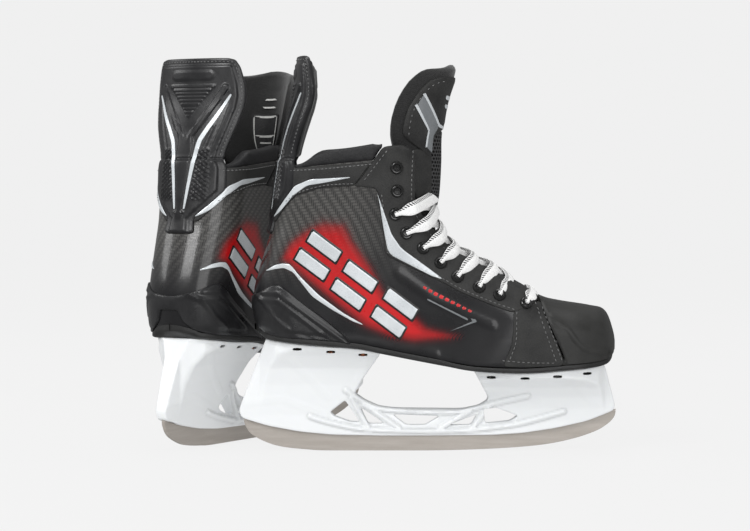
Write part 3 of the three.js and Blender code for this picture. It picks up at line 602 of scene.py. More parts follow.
class Finish:
    """A material of shader nodes. put() adds a node: a value given to an input is set on it,
    and another node's output is linked to it."""

    def __init__(self, name, **values):
        self.material = bpy.data.materials.new(name)
        self.material.use_nodes = True
        self.tree = self.material.node_tree
        self.shader = self.tree.nodes["Principled BSDF"]
        self.feed(self.shader, values)

    def feed(self, node, values):
        for name, value in values.items():
            socket = node.inputs[name if isinstance(name, int) else name.replace("_", " ")]
            if isinstance(value, bpy.types.NodeSocket):
                self.tree.links.new(value, socket)
            else:
                socket.default_value = value

    def put(self, kind, inputs=None, out=0, **settings):
        node = self.tree.nodes.new("ShaderNode" + kind)
        for name, value in settings.items():
            setattr(node, name, value)
        self.feed(node, inputs or {})
        return node.outputs[out]

    def math(self, operation, a, b=0.0, c=0.0):
        return self.put("Math", {0: a, 1: b, 2: c}, operation=operation)

    def between(self, value, low, high, to_low=0.0, to_high=1.0):
        return self.put("MapRange", {"Value": value, "From Min": low, "From Max": high,
                                     "To Min": to_low, "To Max": to_high},
                        interpolation_type="SMOOTHSTEP")

    def mix(self, factor, a, b):
        a, b = (c if isinstance(c, bpy.types.NodeSocket) else rgba(c) for c in (a, b))
        return self.put("Mix", {0: factor, 6: a, 7: b}, out=2, data_type="RGBA")

    def noise(self, where, scale, detail=3.0):
        return self.put("TexNoise", {"Vector": where, "Scale": scale, "Detail": detail,
                                     "Roughness": 0.55})

    def object_place(self):
        return self.put("TexCoord", out=3)

    def pattern_place(self):
        return self.put("UVMap", uv_map="pattern")

    def axes(self, where):
        return self.put("SeparateXYZ", {"Vector": where}).node.outputs

    def mark(self, name):
        return self.put("Attribute", out=2, attribute_name=name)

    def dots(self, where, count):
        """Distance to the middle of the nearest dot of a lattice with every other row moved
        by half a step: 0 at a dot's middle and about 0.7 at a cell's corner."""
        u, v, _ = self.axes(where)
        v = self.math("MULTIPLY", v, count)
        odd = self.math("FLOORED_MODULO", self.math("FLOOR", v), 2.0)
        u = self.math("MULTIPLY_ADD", u, count, self.math("MULTIPLY", odd, 0.5))
        du, dv = (self.math("SUBTRACT", self.math("FRACT", w), 0.5) for w in (u, v))
        return self.math("SQRT", self.math("MULTIPLY_ADD", du, du,
                                           self.math("MULTIPLY", dv, dv)))

    def bump(self, height, strength, depth):
        normal = self.put("Bump", {"Height": height, "Strength": strength, "Distance": depth})
        self.feed(self.shader, {"Normal": normal})

    def colour(self, socket):
        self.feed(self.shader, {"Base_Color": socket})

    def tones(self, value, low, high, dark, light):
        self.colour(self.mix(self.between(value, low, high), dark, light))

    def rough_by(self, value, smooth, rough):
        self.feed(self.shader, {"Roughness": self.between(value, 0.3, 0.7, smooth, rough)})


def grained(name, dark, light, rough, grain=1500.0, depth=0.00022, mottle=60.0, **values):
    """Leather or moulded skin: fine pebbles in relief over a slow mottle of two tones."""
    f = Finish(name, **values)
    at = f.object_place()
    slow = f.noise(at, mottle)
    pebbles = f.put("TexVoronoi", {"Vector": at, "Scale": grain}, feature="F1")
    tone = f.math("MULTIPLY_ADD", pebbles, 0.35, slow)
    f.tones(tone, 0.3, 1.0, dark, light)
    f.rough_by(slow, rough - 0.05, rough + 0.08)
    f.bump(f.math("MULTIPLY_ADD", f.noise(at, grain * 0.5), 0.5, pebbles), 0.5, depth)
    return f


TWILL = 0.42                       # threads of the twill to a millimetre


def composite_finish():
    """Black clear-coated twill with a red fade: the weave is two crossed sets of bands, one
    over the other in steps, and the fade breaks up into rows of dots towards its edge."""
    f = Finish("composite_shell", Roughness=0.34, Coat_Weight=0.5, Coat_Roughness=0.13,
               Specular_IOR_Level=0.25)
    at = f.pattern_place()
    u, v, _ = f.axes(at)
    warp = f.math("FRACT", f.math("MULTIPLY", u, TWILL))
    weft = f.math("FRACT", f.math("MULTIPLY", v, TWILL))
    step = f.math("FLOOR", f.math("MULTIPLY", v, TWILL))
    shift = f.math("MULTIPLY_ADD", step, 0.25, f.math("MULTIPLY", u, TWILL / 4))
    over = f.math("GREATER_THAN", f.math("FRACT", shift), 0.5)
    thread = f.math("SUBTRACT", f.put("Mix", {0: over, 2: warp, 3: weft}, data_type="FLOAT"),
                    0.5)
    crown = f.math("SUBTRACT", 1.0, f.math("MULTIPLY", f.math("ABSOLUTE", thread), 1.6))
    lit = f.math("MULTIPLY", f.math("MULTIPLY_ADD", over, 0.5, crown), 0.5)
    woven = f.mix(lit, (0.005, 0.005, 0.006), (0.12, 0.117, 0.11))
    slow = f.noise(f.object_place(), 40.0)
    plain = f.mix(slow, (0.005, 0.005, 0.006), (0.014, 0.014, 0.015))
    weave = f.mark("weave")
    black = f.mix(weave, plain, woven)
    red = f.mark("red")
    turned = f.put("VectorRotate", {"Vector": at, "Angle": 0.7}, rotation_type="Z_AXIS")
    inside_dot = f.math("SUBTRACT", f.math("MULTIPLY", red, 0.95), f.dots(turned, 0.62))
    dot = f.between(inside_dot, -0.08, 0.12)
    amount = f.math("MAXIMUM", f.math("MULTIPLY", dot, 0.8), f.between(red, 0.35, 0.9))
    hue = f.mix(f.between(red, 0.1, 0.95), (0.09, 0.002, 0.003), (0.47, 0.006, 0.008))
    threaded = f.mix(f.math("MULTIPLY", weave, 0.45), hue, f.mix(lit, (0.05, 0.001, 0.001), hue))
    f.colour(f.mix(amount, black, threaded))
    f.rough_by(slow, 0.26, 0.36)
    f.bump(f.math("MULTIPLY", crown, weave), 0.25, 0.0003)
    return f


def holder_finish():
    """White moulded nylon: a faint cool mottle and a very fine skin, dark where shaded."""
    f = Finish("holder_plastic", Roughness=0.33, Specular_IOR_Level=0.5,
               Subsurface_Weight=0.08, Subsurface_Radius=(0.004, 0.004, 0.005),
               Coat_Weight=0.15, Coat_Roughness=0.2)
    at = f.object_place()
    slow = f.noise(at, 30.0)
    white = f.mix(slow, (0.735, 0.755, 0.765), (0.77, 0.785, 0.795))
    f.colour(f.mix(f.mark("shade"), white, (0.012, 0.012, 0.013)))
    f.rough_by(slow, 0.28, 0.4)
    f.bump(f.noise(at, 900.0), 0.15, 0.0001)
    return f


def runner_finish():
    """Ground steel: fine scratches drawn out along the runner, over broad faint bands."""
    f = Finish("runner_steel", Metallic=0.3, Roughness=0.4)
    at = f.pattern_place()
    drawn = f.put("Mapping", {"Vector": at, "Scale": (0.08, 6.0, 1.0)})
    lines = f.noise(drawn, 3.0, 6.0)
    broad = f.noise(f.put("Mapping", {"Vector": at, "Scale": (0.01, 0.12, 1.0)}), 2.0)
    tone = f.math("MULTIPLY_ADD", lines, 0.5, f.math("MULTIPLY", broad, 0.5))
    f.tones(tone, 0.3, 0.7, (0.37, 0.335, 0.30), (0.47, 0.435, 0.40))
    f.rough_by(lines, 0.28, 0.44)
    f.bump(lines, 0.2, 0.0001)
    return f


def woven_finish(name, dark, light, count, rough=0.9, depth=0.0002):
    """Cloth: crossed threads as sines along the three axes, with fuzz over them."""
    f = Finish(name, Roughness=rough, Sheen_Weight=0.25, Sheen_Roughness=0.5)
    at = f.object_place()
    threads = [f.math("SINE", f.math("MULTIPLY", axis, count)) for axis in f.axes(at)]
    across = f.math("MULTIPLY", f.math("ADD", threads[0], threads[1]), threads[2])
    fuzz = f.noise(at, 700.0, 5.0)
    tone = f.math("MULTIPLY_ADD", across, 0.14, fuzz)
    f.tones(tone, 0.25, 0.8, dark, light)
    f.rough_by(fuzz, rough - 0.06, rough)
    f.bump(tone, 0.6, depth)
    return f


def lace_finish():
    """Flat braid: a herringbone of slanted ribs, with a tracer of black flecks by one edge."""
    f = Finish("lace_cotton", Roughness=0.85, Sheen_Weight=0.3, Sheen_Roughness=0.4)
    along, across, _ = f.axes(f.pattern_place())
    slant = f.math("MULTIPLY_ADD", f.math("ABSOLUTE", across), 0.9, along)
    ribs = f.math("SINE", f.math("MULTIPLY", slant, 7.5))
    fuzz = f.noise(f.object_place(), 900.0, 4.0)
    tone = f.math("MULTIPLY_ADD", ribs, 0.12, fuzz)
    white = f.mix(f.between(tone, 0.2, 0.8), 0.66, (0.9, 0.9, 0.89))
    dash = f.math("FRACT", f.math("MULTIPLY_ADD", across, 1.5, f.math("MULTIPLY", along, 0.42)))
    tracer = f.math("MULTIPLY", f.math("GREATER_THAN", across, 0.42),
                    f.math("LESS_THAN", across, 0.92))
    fleck = f.math("MULTIPLY", f.math("LESS_THAN", dash, 0.52), tracer)
    f.colour(f.mix(fleck, white, (0.012, 0.012, 0.013)))
    f.bump(tone, 0.7, 0.0003)
    return f


def mesh_strip_finish():
    """Knitted spacer mesh: dark round holes in a staggered lattice."""
    f = Finish("spacer_mesh", Roughness=0.75, Specular_IOR_Level=0.3)
    hole = f.between(f.dots(f.pattern_place(), 0.42), 0.28, 0.42, 1.0, 0.0)
    f.colour(f.mix(hole, (0.045, 0.045, 0.046), 0.002))
    f.bump(f.math("SUBTRACT", 1.0, hole), 1.0, 0.0008)
    return f


def metal_finish(name, dark, light, rough, **values):
    """Turned metal: faint scratches and wear over two tones."""
    f = Finish(name, Roughness=rough, **values)
    at = f.object_place()
    worn = f.noise(at, 220.0, 5.0)
    f.colour(f.mix(worn, dark, light))
    f.rough_by(worn, rough - 0.08, rough + 0.1)
    f.bump(worn, 0.2, 0.0001)
    return f


def film_finish(name, dark, light, rough, **values):
    """Printed film: an even tone with fine flakes in it."""
    f = Finish(name, Roughness=rough, **values)
    at = f.object_place()
    flakes = f.noise(at, 2600.0, 2.0)
    slow = f.noise(at, 45.0)
    tone = f.math("MULTIPLY_ADD", flakes, 0.4, f.math("MULTIPLY", slow, 0.6))
    f.tones(tone, 0.3, 0.7, dark, light)
    f.rough_by(flakes, rough - 0.04, rough + 0.08)
    f.bump(flakes, 0.1, 0.00005)
    return f


FINISHES = {
    "composite": composite_finish(),
    "sole": grained("moulded_sole", 0.008, 0.02, 0.5, grain=900.0),
    "heel": grained("moulded_heel", (0.007, 0.007, 0.008), (0.016, 0.016, 0.017), 0.32,
                    grain=1900.0, depth=0.0001, Coat_Weight=0.25, Coat_Roughness=0.22),
    "cap": grained("moulded_cap", (0.017, 0.017, 0.016), (0.030, 0.030, 0.029), 0.46,
                   grain=1900.0, depth=0.00012, Specular_IOR_Level=0.35),
    "leather": grained("panel_leather", (0.016, 0.016, 0.016), (0.033, 0.033, 0.032), 0.52,
                       grain=1100.0, depth=0.0003, Specular_IOR_Level=0.3),
    "collar": grained("collar_leather", (0.008, 0.008, 0.009), (0.022, 0.022, 0.023), 0.52,
                      grain=800.0, depth=0.0004, mottle=90.0, Specular_IOR_Level=0.3),
    "guard": grained("guard_plastic", (0.006, 0.006, 0.007), (0.014, 0.014, 0.015), 0.34,
                     grain=1700.0, depth=0.00005, Coat_Weight=0.15, Coat_Roughness=0.25),
    "lining": woven_finish("lining_cloth", 0.008, 0.035, 5200.0),
    "felt": woven_finish("tongue_felt", 0.005, 0.018, 3800.0, 0.95, 0.0005),
    "holder": holder_finish(),
    "runner": runner_finish(),
    "lace": lace_finish(),
    "mesh": mesh_strip_finish(),
    "eyelet": metal_finish("eyelet_enamel", 0.006, 0.016, 0.24,
                           Metallic=0.3, Coat_Weight=0.5, Coat_Roughness=0.15),
    "steel": metal_finish("rivet_steel", (0.30, 0.29, 0.28), (0.5, 0.48, 0.46), 0.35,
                          Metallic=1.0),
    "copper": metal_finish("rivet_copper", (0.42, 0.13, 0.05), (0.72, 0.30, 0.15), 0.33,
                           Metallic=1.0),
    "silver": film_finish("silver_film", (0.50, 0.53, 0.55), (0.66, 0.69, 0.71), 0.3,
                          Metallic=0.25, Coat_Weight=0.3, Coat_Roughness=0.15),
    "grey": film_finish("grey_film", (0.11, 0.12, 0.125), (0.18, 0.19, 0.2), 0.35),
    "black": film_finish("black_film", 0.004, 0.009, 0.3, Coat_Weight=0.3,
                         Coat_Roughness=0.15),
    "red": film_finish("red_film", (0.42, 0.008, 0.01), (0.6, 0.014, 0.016), 0.3),
    "thread": woven_finish("sewing_thread", 0.07, 0.2, 9000.0, 0.7, 0.0001),
    "label": woven_finish("woven_label", (0.42, 0.42, 0.41), (0.6, 0.6, 0.58), 7000.0, 0.85,
                          0.0001),
}


# ---- placing ----
class Skate:
    """One skate's place in the row frame, from its tongue's fold: the fold is at x 158 and
    z 248 of the skate's own frame and its axis is the skate's y, so forward is that axis
    turned back by a quarter. The left skate is a mirror image of the right one."""

    FOLD = (158, 248)

    def __init__(self, side):
        joint = next(j for j in frame["joints"] if j["name"] == f"{side}_tongue_fold")
        self.side, self.mirror = side, 1 if side == "right" else -1
        across = np.array(joint["axis"], float)
        self.across, self.forward = across, np.array([across[1], -across[0], 0])
        self.origin = (np.array(joint["pos_m"], float) - self.forward * self.FOLD[0] * MM
                       - np.array([0, 0, self.FOLD[1] * MM]))

    def place(self, points):
        x, y, z = np.asarray(points, float).T
        return (self.origin + np.outer(x * MM, self.forward)
                + np.outer(y * MM * self.mirror, self.across) + np.outer(z * MM, [0, 0, 1]))

    def point(self, x, y, z):
        return tuple(self.place([(x, y, z)])[0])


SKATES = [Skate("right"), Skate("left")]


def placed(name, data):
    found = bpy.data.objects.new(name, data)
    bpy.context.scene.collection.objects.link(found)
    return found


def add(name, shape, finish, slot, replaces=(), body="root", bend=None, padded=None,
        sharp=38.0):
    """Places a shape as a piece of each skate. body is the skate's own moving body, or root, and
    the piece is attached to it. Given bend, the piece is left unattached with its place baked
    into its points, and bend's two points, in the skate's frame, are worked out but not used."""
    for skate in SKATES:
        mesh = bpy.data.meshes.new(f"{skate.side}_{name}")
        faces = [f if skate.mirror > 0 else f[:, ::-1] for f in shape.faces]
        mesh.from_pydata(skate.place(shape.points).tolist(), [],
                         [corners for f in faces for corners in f.tolist()])
        corners = np.zeros(len(mesh.loops), int)
        mesh.loops.foreach_get("vertex_index", corners)
        uv = mesh.uv_layers.new(name="pattern")
        uv.data.foreach_set("uv", shape.pattern[corners].astype(np.float32).ravel())
        for mark, values in shape.marks.items():
            layer = mesh.attributes.new(mark, "FLOAT", "POINT")
            layer.data.foreach_set("value", values.astype(np.float32))
        mesh.polygons.foreach_set("use_smooth", np.ones(len(mesh.polygons), bool))
        mesh.set_sharp_from_angle(angle=math.radians(sharp))
        mesh.materials.append(FINISHES[finish].material)
        piece = placed(mesh.name, mesh)
        own = body if body == "root" else f"{skate.side}_{body}"
        if bend:
            skate.point(*bend[0])
            skate.point(*bend[1])
            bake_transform(piece)
        else:
            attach(piece, own)
        if replaces:
            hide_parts(*(f"{skate.side}_{node}" for node in replaces))


# ---- camera, light and floor ----
def make_camera():
    """The camera looks along the pair's +Y at the middle of the right skate, a little from
    above."""
    look_at = Vector(SKATES[0].point(101, 0, 154.5))
    tilt, away = math.radians(2.2), 2.0
    camera = placed("camera", bpy.data.cameras.new("camera"))
    camera.data.lens, camera.data.sensor_width = 115.2, 36
    back = Vector((0, -math.cos(tilt), math.sin(tilt)))
    camera.location = look_at + back * away
    camera.rotation_euler = (-back).to_track_quat("-Z", "Y").to_euler()
    bpy.context.scene.camera = camera


def make_light(name, place, target, size, power):
    light = placed(name, bpy.data.lights.new(name, "AREA"))
    light.data.size, light.data.energy = size, power
    light.location = place
    light.rotation_euler = (Vector(target) - Vector(place)).to_track_quat("-Z", "Y").to_euler()


def make_studio():
    """A pale floor at z 0 that curves up into a round wall. It glows, casts no shadow, and
    isn't seen in glossy reflections. Over it are four large soft lights."""
    floor_reach, bend, wall = 5.0, 4.0, 5.0
    rise = np.linspace(0, math.pi / 2, 16)
    radius = np.concatenate([[0.01, 1.2, 2.4], floor_reach + bend * np.sin(rise),
                             [floor_reach + bend]])
    height = np.concatenate([[0, 0, 0], bend * (1 - np.cos(rise)), [bend + wall]])
    around = 64
    turn = np.linspace(0, 2 * math.pi, around, endpoint=False)
    points = np.stack([radius[:, None] * np.cos(turn), radius[:, None] * np.sin(turn),
                       height[:, None] * np.ones(around)], -1)
    mesh = bpy.data.meshes.new("studio_floor")
    middle_face = np.arange(around)[::-1].tolist()
    faces = [middle_face] + grid_faces(len(radius), around, closed=True).tolist()
    mesh.from_pydata(points.reshape(-1, 3).tolist(), [], faces)
    mesh.polygons.foreach_set("use_smooth", np.ones(len(mesh.polygons), bool))
    paper = Finish("studio_paper", Roughness=1.0, Specular_IOR_Level=0.0,
                   Emission_Strength=0.84, Emission_Color=(1, 1, 1, 1))
    tone = paper.noise(paper.object_place(), 3.0)
    paper.colour(paper.mix(tone, 0.045, 0.05))
    mesh.materials.append(paper.material)
    floor = placed("studio_floor", mesh)
    floor.visible_glossy = False
    floor.visible_shadow = False
    world = bpy.data.worlds.new("studio_air")
    world.use_nodes = True
    air = world.node_tree.nodes["Background"].inputs
    air["Color"].default_value = (1, 1, 1, 1)
    air["Strength"].default_value = 0.25
    bpy.context.scene.world = world
    middle = (0, -0.05, 0.18)
    make_light("key_light", (-1.2, -1.9, 1.7), middle, 1.0, 30)
    make_light("front_light", (0.7, -2.6, 0.7), middle, 1.3, 16)
    make_light("top_light", (0.1, 0.2, 2.3), middle, 1.3, 16)
    make_light("left_light", (-2.2, 0.1, 1.2), middle, 0.8, 9)
    bpy.context.scene.view_settings.view_transform = "Standard"


# ---- boot ----
def weave_mark(x, z):
    """Where the twill shows: on the upper and rear shell, fading out lower down."""
    return smoothstep(z, 128, 190) * (1 - 0.5 * smoothstep(x, 75, 118))


RED_ZONE = [(14.9, 156.7), (29, 173.7), (44, 188.7), (57.2, 199), (79.8, 194.3), (83.5, 177.4),
            (98.5, 154.9), (109.8, 132.3), (123, 124.8), (143.6, 106), (170, 98.5),
            (162.4, 95.7), (132.4, 92.8), (113.6, 96.6), (92.9, 105), (76, 118),
            (44, 144), (30, 156)]


def red_mark(x, z):
    """The red fade: a slanted zone down the shell, soft at its edges, dimmed at its top and
    gone at the heel's back."""
    away = distance(x, z, RED_ZONE, True) * np.where(inside(x, z, RED_ZONE), 1, -1)
    glow = smoothstep(away, -9, 13)
    return glow * (1 - 0.6 * smoothstep(z, 172, 200)) * smoothstep(x, 12, 34)


SHELL_FOLDS = [[(44, 100), (98, 92), (150, 84)], [(120, 150), (150, 128), (196, 108)]]


def quarter_shell():
    """The composite shell: one panel round the heel, with two soft folds to each side."""
    lower = [(x, sole_z(x) + SOLE_THICK + 0.3) for x in (12, 30, 60, 90, 120, 150, 180, 210, 235)]
    half = [(2.2, 106), (5.5, 101), *lower, (250, 89), (241.5, 108), *SHELL_FRONT[::-1],
            *COLLAR_LINE[::-1][1:]]

    def relief(x, z):
        return sum(ridge(x, z, fold, 5, 0.5) for fold in SHELL_FOLDS)
    shape = panel(HEEL, round_heel(half), 0.0, -SHELL_WALL, step=2.6, edge=0.5, relief=relief,
                  weave=weave_mark, red=red_mark)
    add("quarter_shell", shape, "composite", "composite_shell", ["quarter_shell"])


def outsole():
    """The sole's section carried from heel to toe: loops across at each place along the
    outer line, from the inner edge round the side to the middle underneath."""
    x = 150.5 - 149.8 * np.cos(np.linspace(0, math.pi, 120))
    z = np.interp(x, *table(OUTER_LINE[:12][::-1]))
    heel_x_end, heel_z_end = OUTER_LINE[10]
    z = np.where(x < heel_x_end, heel_z_end + (heel_x_end - x) * 0.7, z)
    top = z + SOLE_THICK
    step = 1.4 * (1 - smoothstep(x, 156, 164))
    # by share of the half-width and of the height, and millimetres further out
    section = [(0.0, 1.0, -0.2), (1.0, 1.0, -0.2), (1.0, 1.0, 1.4), (1.0, 0.55, 1.9),
               (1.0, 0.15, 1.5), (0.97, 0.0, 0.2), (0.6, -0.05, 0), (0.0, -0.08, 0)]
    half = half_width(np.clip(x, 1.2, 299.6), top + 1.5)
    loops = []
    for side, order in ((OUTER, section), (INNER, section[-2:0:-1])):
        for share, height, out in order:
            y = centre_y(x) + side * (half * share + out * min(share, 1) * np.minimum(
                half / 20, 1))
            loops.append(np.stack([x, y, z + (top + step * 0.5 - z) * height], -1))
    add("outsole", tube(np.stack(loops, 1)), "sole", "moulded_sole", ["outsole"])


CAP_TIP, CAP_CREST = 98.35, 0.62   # the tip's fan angle; the share of a side on the crest
CAP_OUT, CAP_IN = 1.5, 2.4
CAP_MIDDLE = np.array([262, float(centre_y(262)), 95])
CAP_CREASE = [(245, 113), (250.7, 109.6), (258.7, 103.4), (264.3, 95.5), (271.1, 88.7),
              (279.1, 85.3), (294.9, 83.6)]


def cap_outer(angle):
    return np.interp(angle, *OUTER_RADIUS) - SOLE_THICK - 0.3


def toe_cap():
    """A ruled skin from the toe seam to the toe's tip by fan angle, and from the crest to the
    sole's edge with its steps drawn together at the crest, over both sides at once. The angle
    at the seam depends on the radius, so the two are settled by turns."""
    rows, columns = 56, 89
    t = np.linspace(0, 1, rows)[:, None]
    s = np.linspace(-1, 1, columns)[None]
    share = np.abs(s)
    turn = np.minimum(share / CAP_CREST, 1) * math.pi / 2
    ease = 1 - np.cos(turn) ** (2 / CREST_POWER)
    beyond = np.maximum(share - CAP_CREST, 0) / (1 - CAP_CREST)
    seam_angle, seam_radius = to_fan(*spline(TOE_SEAM[:3] + [(256, 80)], 60).T)
    order = np.argsort(seam_radius)
    seam = np.interp(share, np.linspace(0, 1, len(order)), seam_angle)
    for _ in range(3):
        angle = seam * (1 - t) + CAP_TIP * t
        crest, outer = np.interp(angle, *CREST_RADIUS), cap_outer(angle)
        depth = np.minimum(np.interp(angle, *DEPTH_TABLE), outer - crest)
        radius = crest + depth * ease + beyond * (outer - crest - depth)
        seam = np.interp(radius, seam_radius[order], seam_angle[order])
    angle = seam * (1 - t) + CAP_TIP * t
    x, z = from_fan(angle, radius)
    x = np.minimum(x, TOE_X - 0.05)
    y = centre_y(x) + np.sign(s) * half_width(x, z)
    points = np.stack([x, y, z], -1)
    along, across = np.gradient(points, axis=0), np.gradient(points, axis=1)
    normal = unit(np.cross(across, along))
    inward = (normal * (points - CAP_MIDDLE)).sum(-1) < 0
    normal *= np.where(inward, -1, 1)[..., None]
    angle, radius = to_fan(x, z)
    edge = np.minimum(distance(x, z, spline(TOE_SEAM, 60)),
                      np.maximum(cap_outer(angle) - radius, 0))
    rise = (CAP_OUT + ridge(x, z, spline(CAP_CREASE, 40), 2.6, 0.8)
            - 1.1 * (1 - smoothstep(edge, 0, 1.4)))
    front = (points + normal * rise[..., None]).reshape(-1, 3)
    back = (points - normal * CAP_IN).reshape(-1, 3)
    faces = grid_faces(rows, columns)
    first = front[faces[len(faces) // 3]]
    if np.cross(first[1] - first[0], first[2] - first[0]) @ (first[0] - CAP_MIDDLE) < 0:
        faces = faces[:, ::-1]
    shape = two_sheets(front, back, faces, np.stack([x, z], -1).reshape(-1, 2))
    add("toe_cap", shape, "cap", "moulded_cap", ["toe_cap"])


COUNTER_RIDGES = [[(10, 133), (22, 133), (38, 121), (58, 106.5), (74, 95), (80, 91)],
                  [(9, 128), (22, 127), (38, 115), (56, 101)],
                  [(3, 131.5), (11, 126), (20, 112), (30, 104)]]
COUNTER_GROOVE = [(0, 104), (60, 97)]


def heel_counter():
    """The moulded cup round the heel: ridges along its top, thicker below, one groove."""
    half = [(0.4, 130), *COUNTER_TOP[1:], (80, sole_z(80) + 4.3), (46, 94.8), (22, 97.2),
            (9.5, 101), (3.6, 108), (1.4, 118)]

    def relief(x, z):
        ribs = sum(ridge(x, z, line, 2.2, 0.9) for line in COUNTER_RIDGES)
        foot = 0.8 * smoothstep(z, 128, 100)
        return ribs + foot - ridge(x, z, COUNTER_GROOVE, 1.5, 0.6)
    shape = panel(HEEL, round_heel(rounded(half, False, 2.5), 1.0), 1.9, 0.1, step=1.9,
                  edge=1.5, relief=relief)
    add("heel_counter", shape, "heel", "moulded_cap", ["heel_counter"])


def leather_pair(name, pair, rise, under, edge, relief=None):
    """A leather panel on the outer side and on the inner one: a surface and an outline each."""
    for end, (surface, outline) in zip(SIDES, pair):
        shape = panel(surface, outline, rise, under, edge=edge, relief=relief)
        add(f"{name}_{end}", shape, "leather", "synthetic_leather", [f"{name}_{end}"])


def eyestays():
    """The facings that carry the eyelets: thick at the edge by the tongue, with one groove."""
    front = [(FACING_EDGE[0][0] - 7, FACING_EDGE[0][1] + 2.5), *FACING_EDGE]
    outline = rounded([*front, *EYESTAY_REAR[::-1]], True, 2.2, 0.12)
    groove = [(129, 247), (129.2, 206), (139, 188)]

    def relief(x, z):
        swell = 0.5 * (1 - smoothstep(distance(x, z, FACING_EDGE), 2, 9))
        return swell - ridge(x, z, groove, 1.2, 0.5)
    pair = [(SIDE[side], outline) for side in SIDES.values()]
    leather_pair("eyestay", pair, 1.6, -2.6, 1.0, relief)


def toe_vamps():
    outline = rounded(VAMP_OUTLINE, True, 2.2, 0.12)
    pair = [(SIDE[side], outline) for side in SIDES.values()]
    leather_pair("toe_vamp", pair, 1.1, -0.6, 0.8)


def collar_bands():
    """Leather bands under the collar, raised away from their lower edge."""
    line = rounded([*BAND_LOWER, (89.2, 227.8), (98.2, 240.3), *COLLAR_LINE[1::-1]], True, 2.2,
                   0.1)

    def relief(x, z):
        return 0.5 * smoothstep(distance(x, z, BAND_LOWER), 2, 6)
    pair = [(HEEL, heel_loop(line, -side)) for side in SIDES.values()]
    leather_pair("collar_band", pair, 1.4, -0.4, 1.0, relief)


def collar_foam():
    """A padded roll round the collar: an oval section of powers of a sine and a cosine,
    carried round the heel between the collar's lower and upper lines."""
    lower = np.array([(23.4, 235.5), (39.5, 235.5), (99.3, 241.5), (107.2, 251.5)])
    upper = rounded(COLLAR_TOP, False, 1.5, 0.25)
    behind, ahead = back_x(245) + 0.5, 107
    swing = (1 - np.cos(np.linspace(0, math.pi / 2, 60))) ** 1.2
    x = behind + (ahead - behind) * swing
    low, high = np.interp(x, *lower.T), np.interp(x, *upper.T)
    middle, tall = (low + high) / 2, (high - low) / 2 + 0.6
    around = heel_u(np.maximum(x, back_x(middle)), middle)
    u = np.concatenate([-around[::-1], around])[:, None]
    middle, tall = (np.concatenate([w[::-1], w])[:, None] for w in (middle, tall))
    turn = np.linspace(0, 2 * math.pi, 25)[:-1][None]
    lift = np.sign(np.sin(turn)) * np.abs(np.sin(turn)) ** 0.75
    out = np.sign(np.cos(turn)) * np.abs(np.cos(turn)) ** 0.7
    # the roll is drawn in at its two ends
    to_end = 1 - np.abs(np.linspace(-1, 1, len(u)))
    taper = np.minimum(1, to_end * 14 + 0.35)[:, None]
    sunk, plump = -5.2, 5.6
    u, middle, _ = np.broadcast_arrays(u, middle, turn)
    points = HEEL.at(u, middle, sunk + plump * out * taper)
    points[..., 2] += tall * lift * taper
    add("collar_foam", tube(points[:, ::-1]), "collar", "collar_leather", ["collar_foam"],
        padded=0.9)


def liner():
    """The lining inside the shell, quilted by a cosine of the height."""
    half = [(9, 118), (30, 104), (90, 96), (150, 84), (220, 76), (250, 82), (246, 98),
            (222, 102), (200, 110), (183, 118), (165, 127), (150, 138), (135, 150), (121, 164),
            (108, 188), (106, 240), (98, 240), (39.5, 235), (26, 234.5)]
    outline = round_heel(half)
    places, faces = fill([outline], 3.2)
    u, v = places.T
    away = distance(u, v, outline, True)
    quilt = 0.5 * np.cos(v / 9) * smoothstep(away, 2, 8)
    shape = two_sheets(HEEL.at(u, v, -3.3), HEEL.at(u, v, -7.8 - quilt), faces, places)
    add("liner", shape, "lining", "lining", ["liner"])


# ---- tendon guard ----
def guard_outline(low, high, inset=0.0):
    z = np.concatenate([[low], [k for k, _ in GUARD_HALF if low < k < high], [high]])
    half = np.interp(z, *np.array(GUARD_HALF).T) - inset
    right = np.stack([half, z], 1)
    return rounded(np.vstack([right, (right * [-1, 1])[::-1]]), True, 1.8, 0.09)


def mirrored(lines):
    return [np.array(line) * [s, 1] for line in lines for s in (1, -1)]


GUARD_ARMS = mirrored([[(30, 303), (21, 287), (11, 271), (4.5, 262), (3.2, 200)]])
GUARD_SILVER = [(34.5, 297), (26, 280), (16.5, 264), (12.2, 254), (8, 228), (4.6, 201)]
GUARD_BLEND = [(22, 0, GUARD_HINGE - 9), (22, 0, GUARD_HINGE + 9)]


GUARD_TOP = 327.6
ON_GUARD = {"body": "tendon_guard", "bend": GUARD_BLEND}


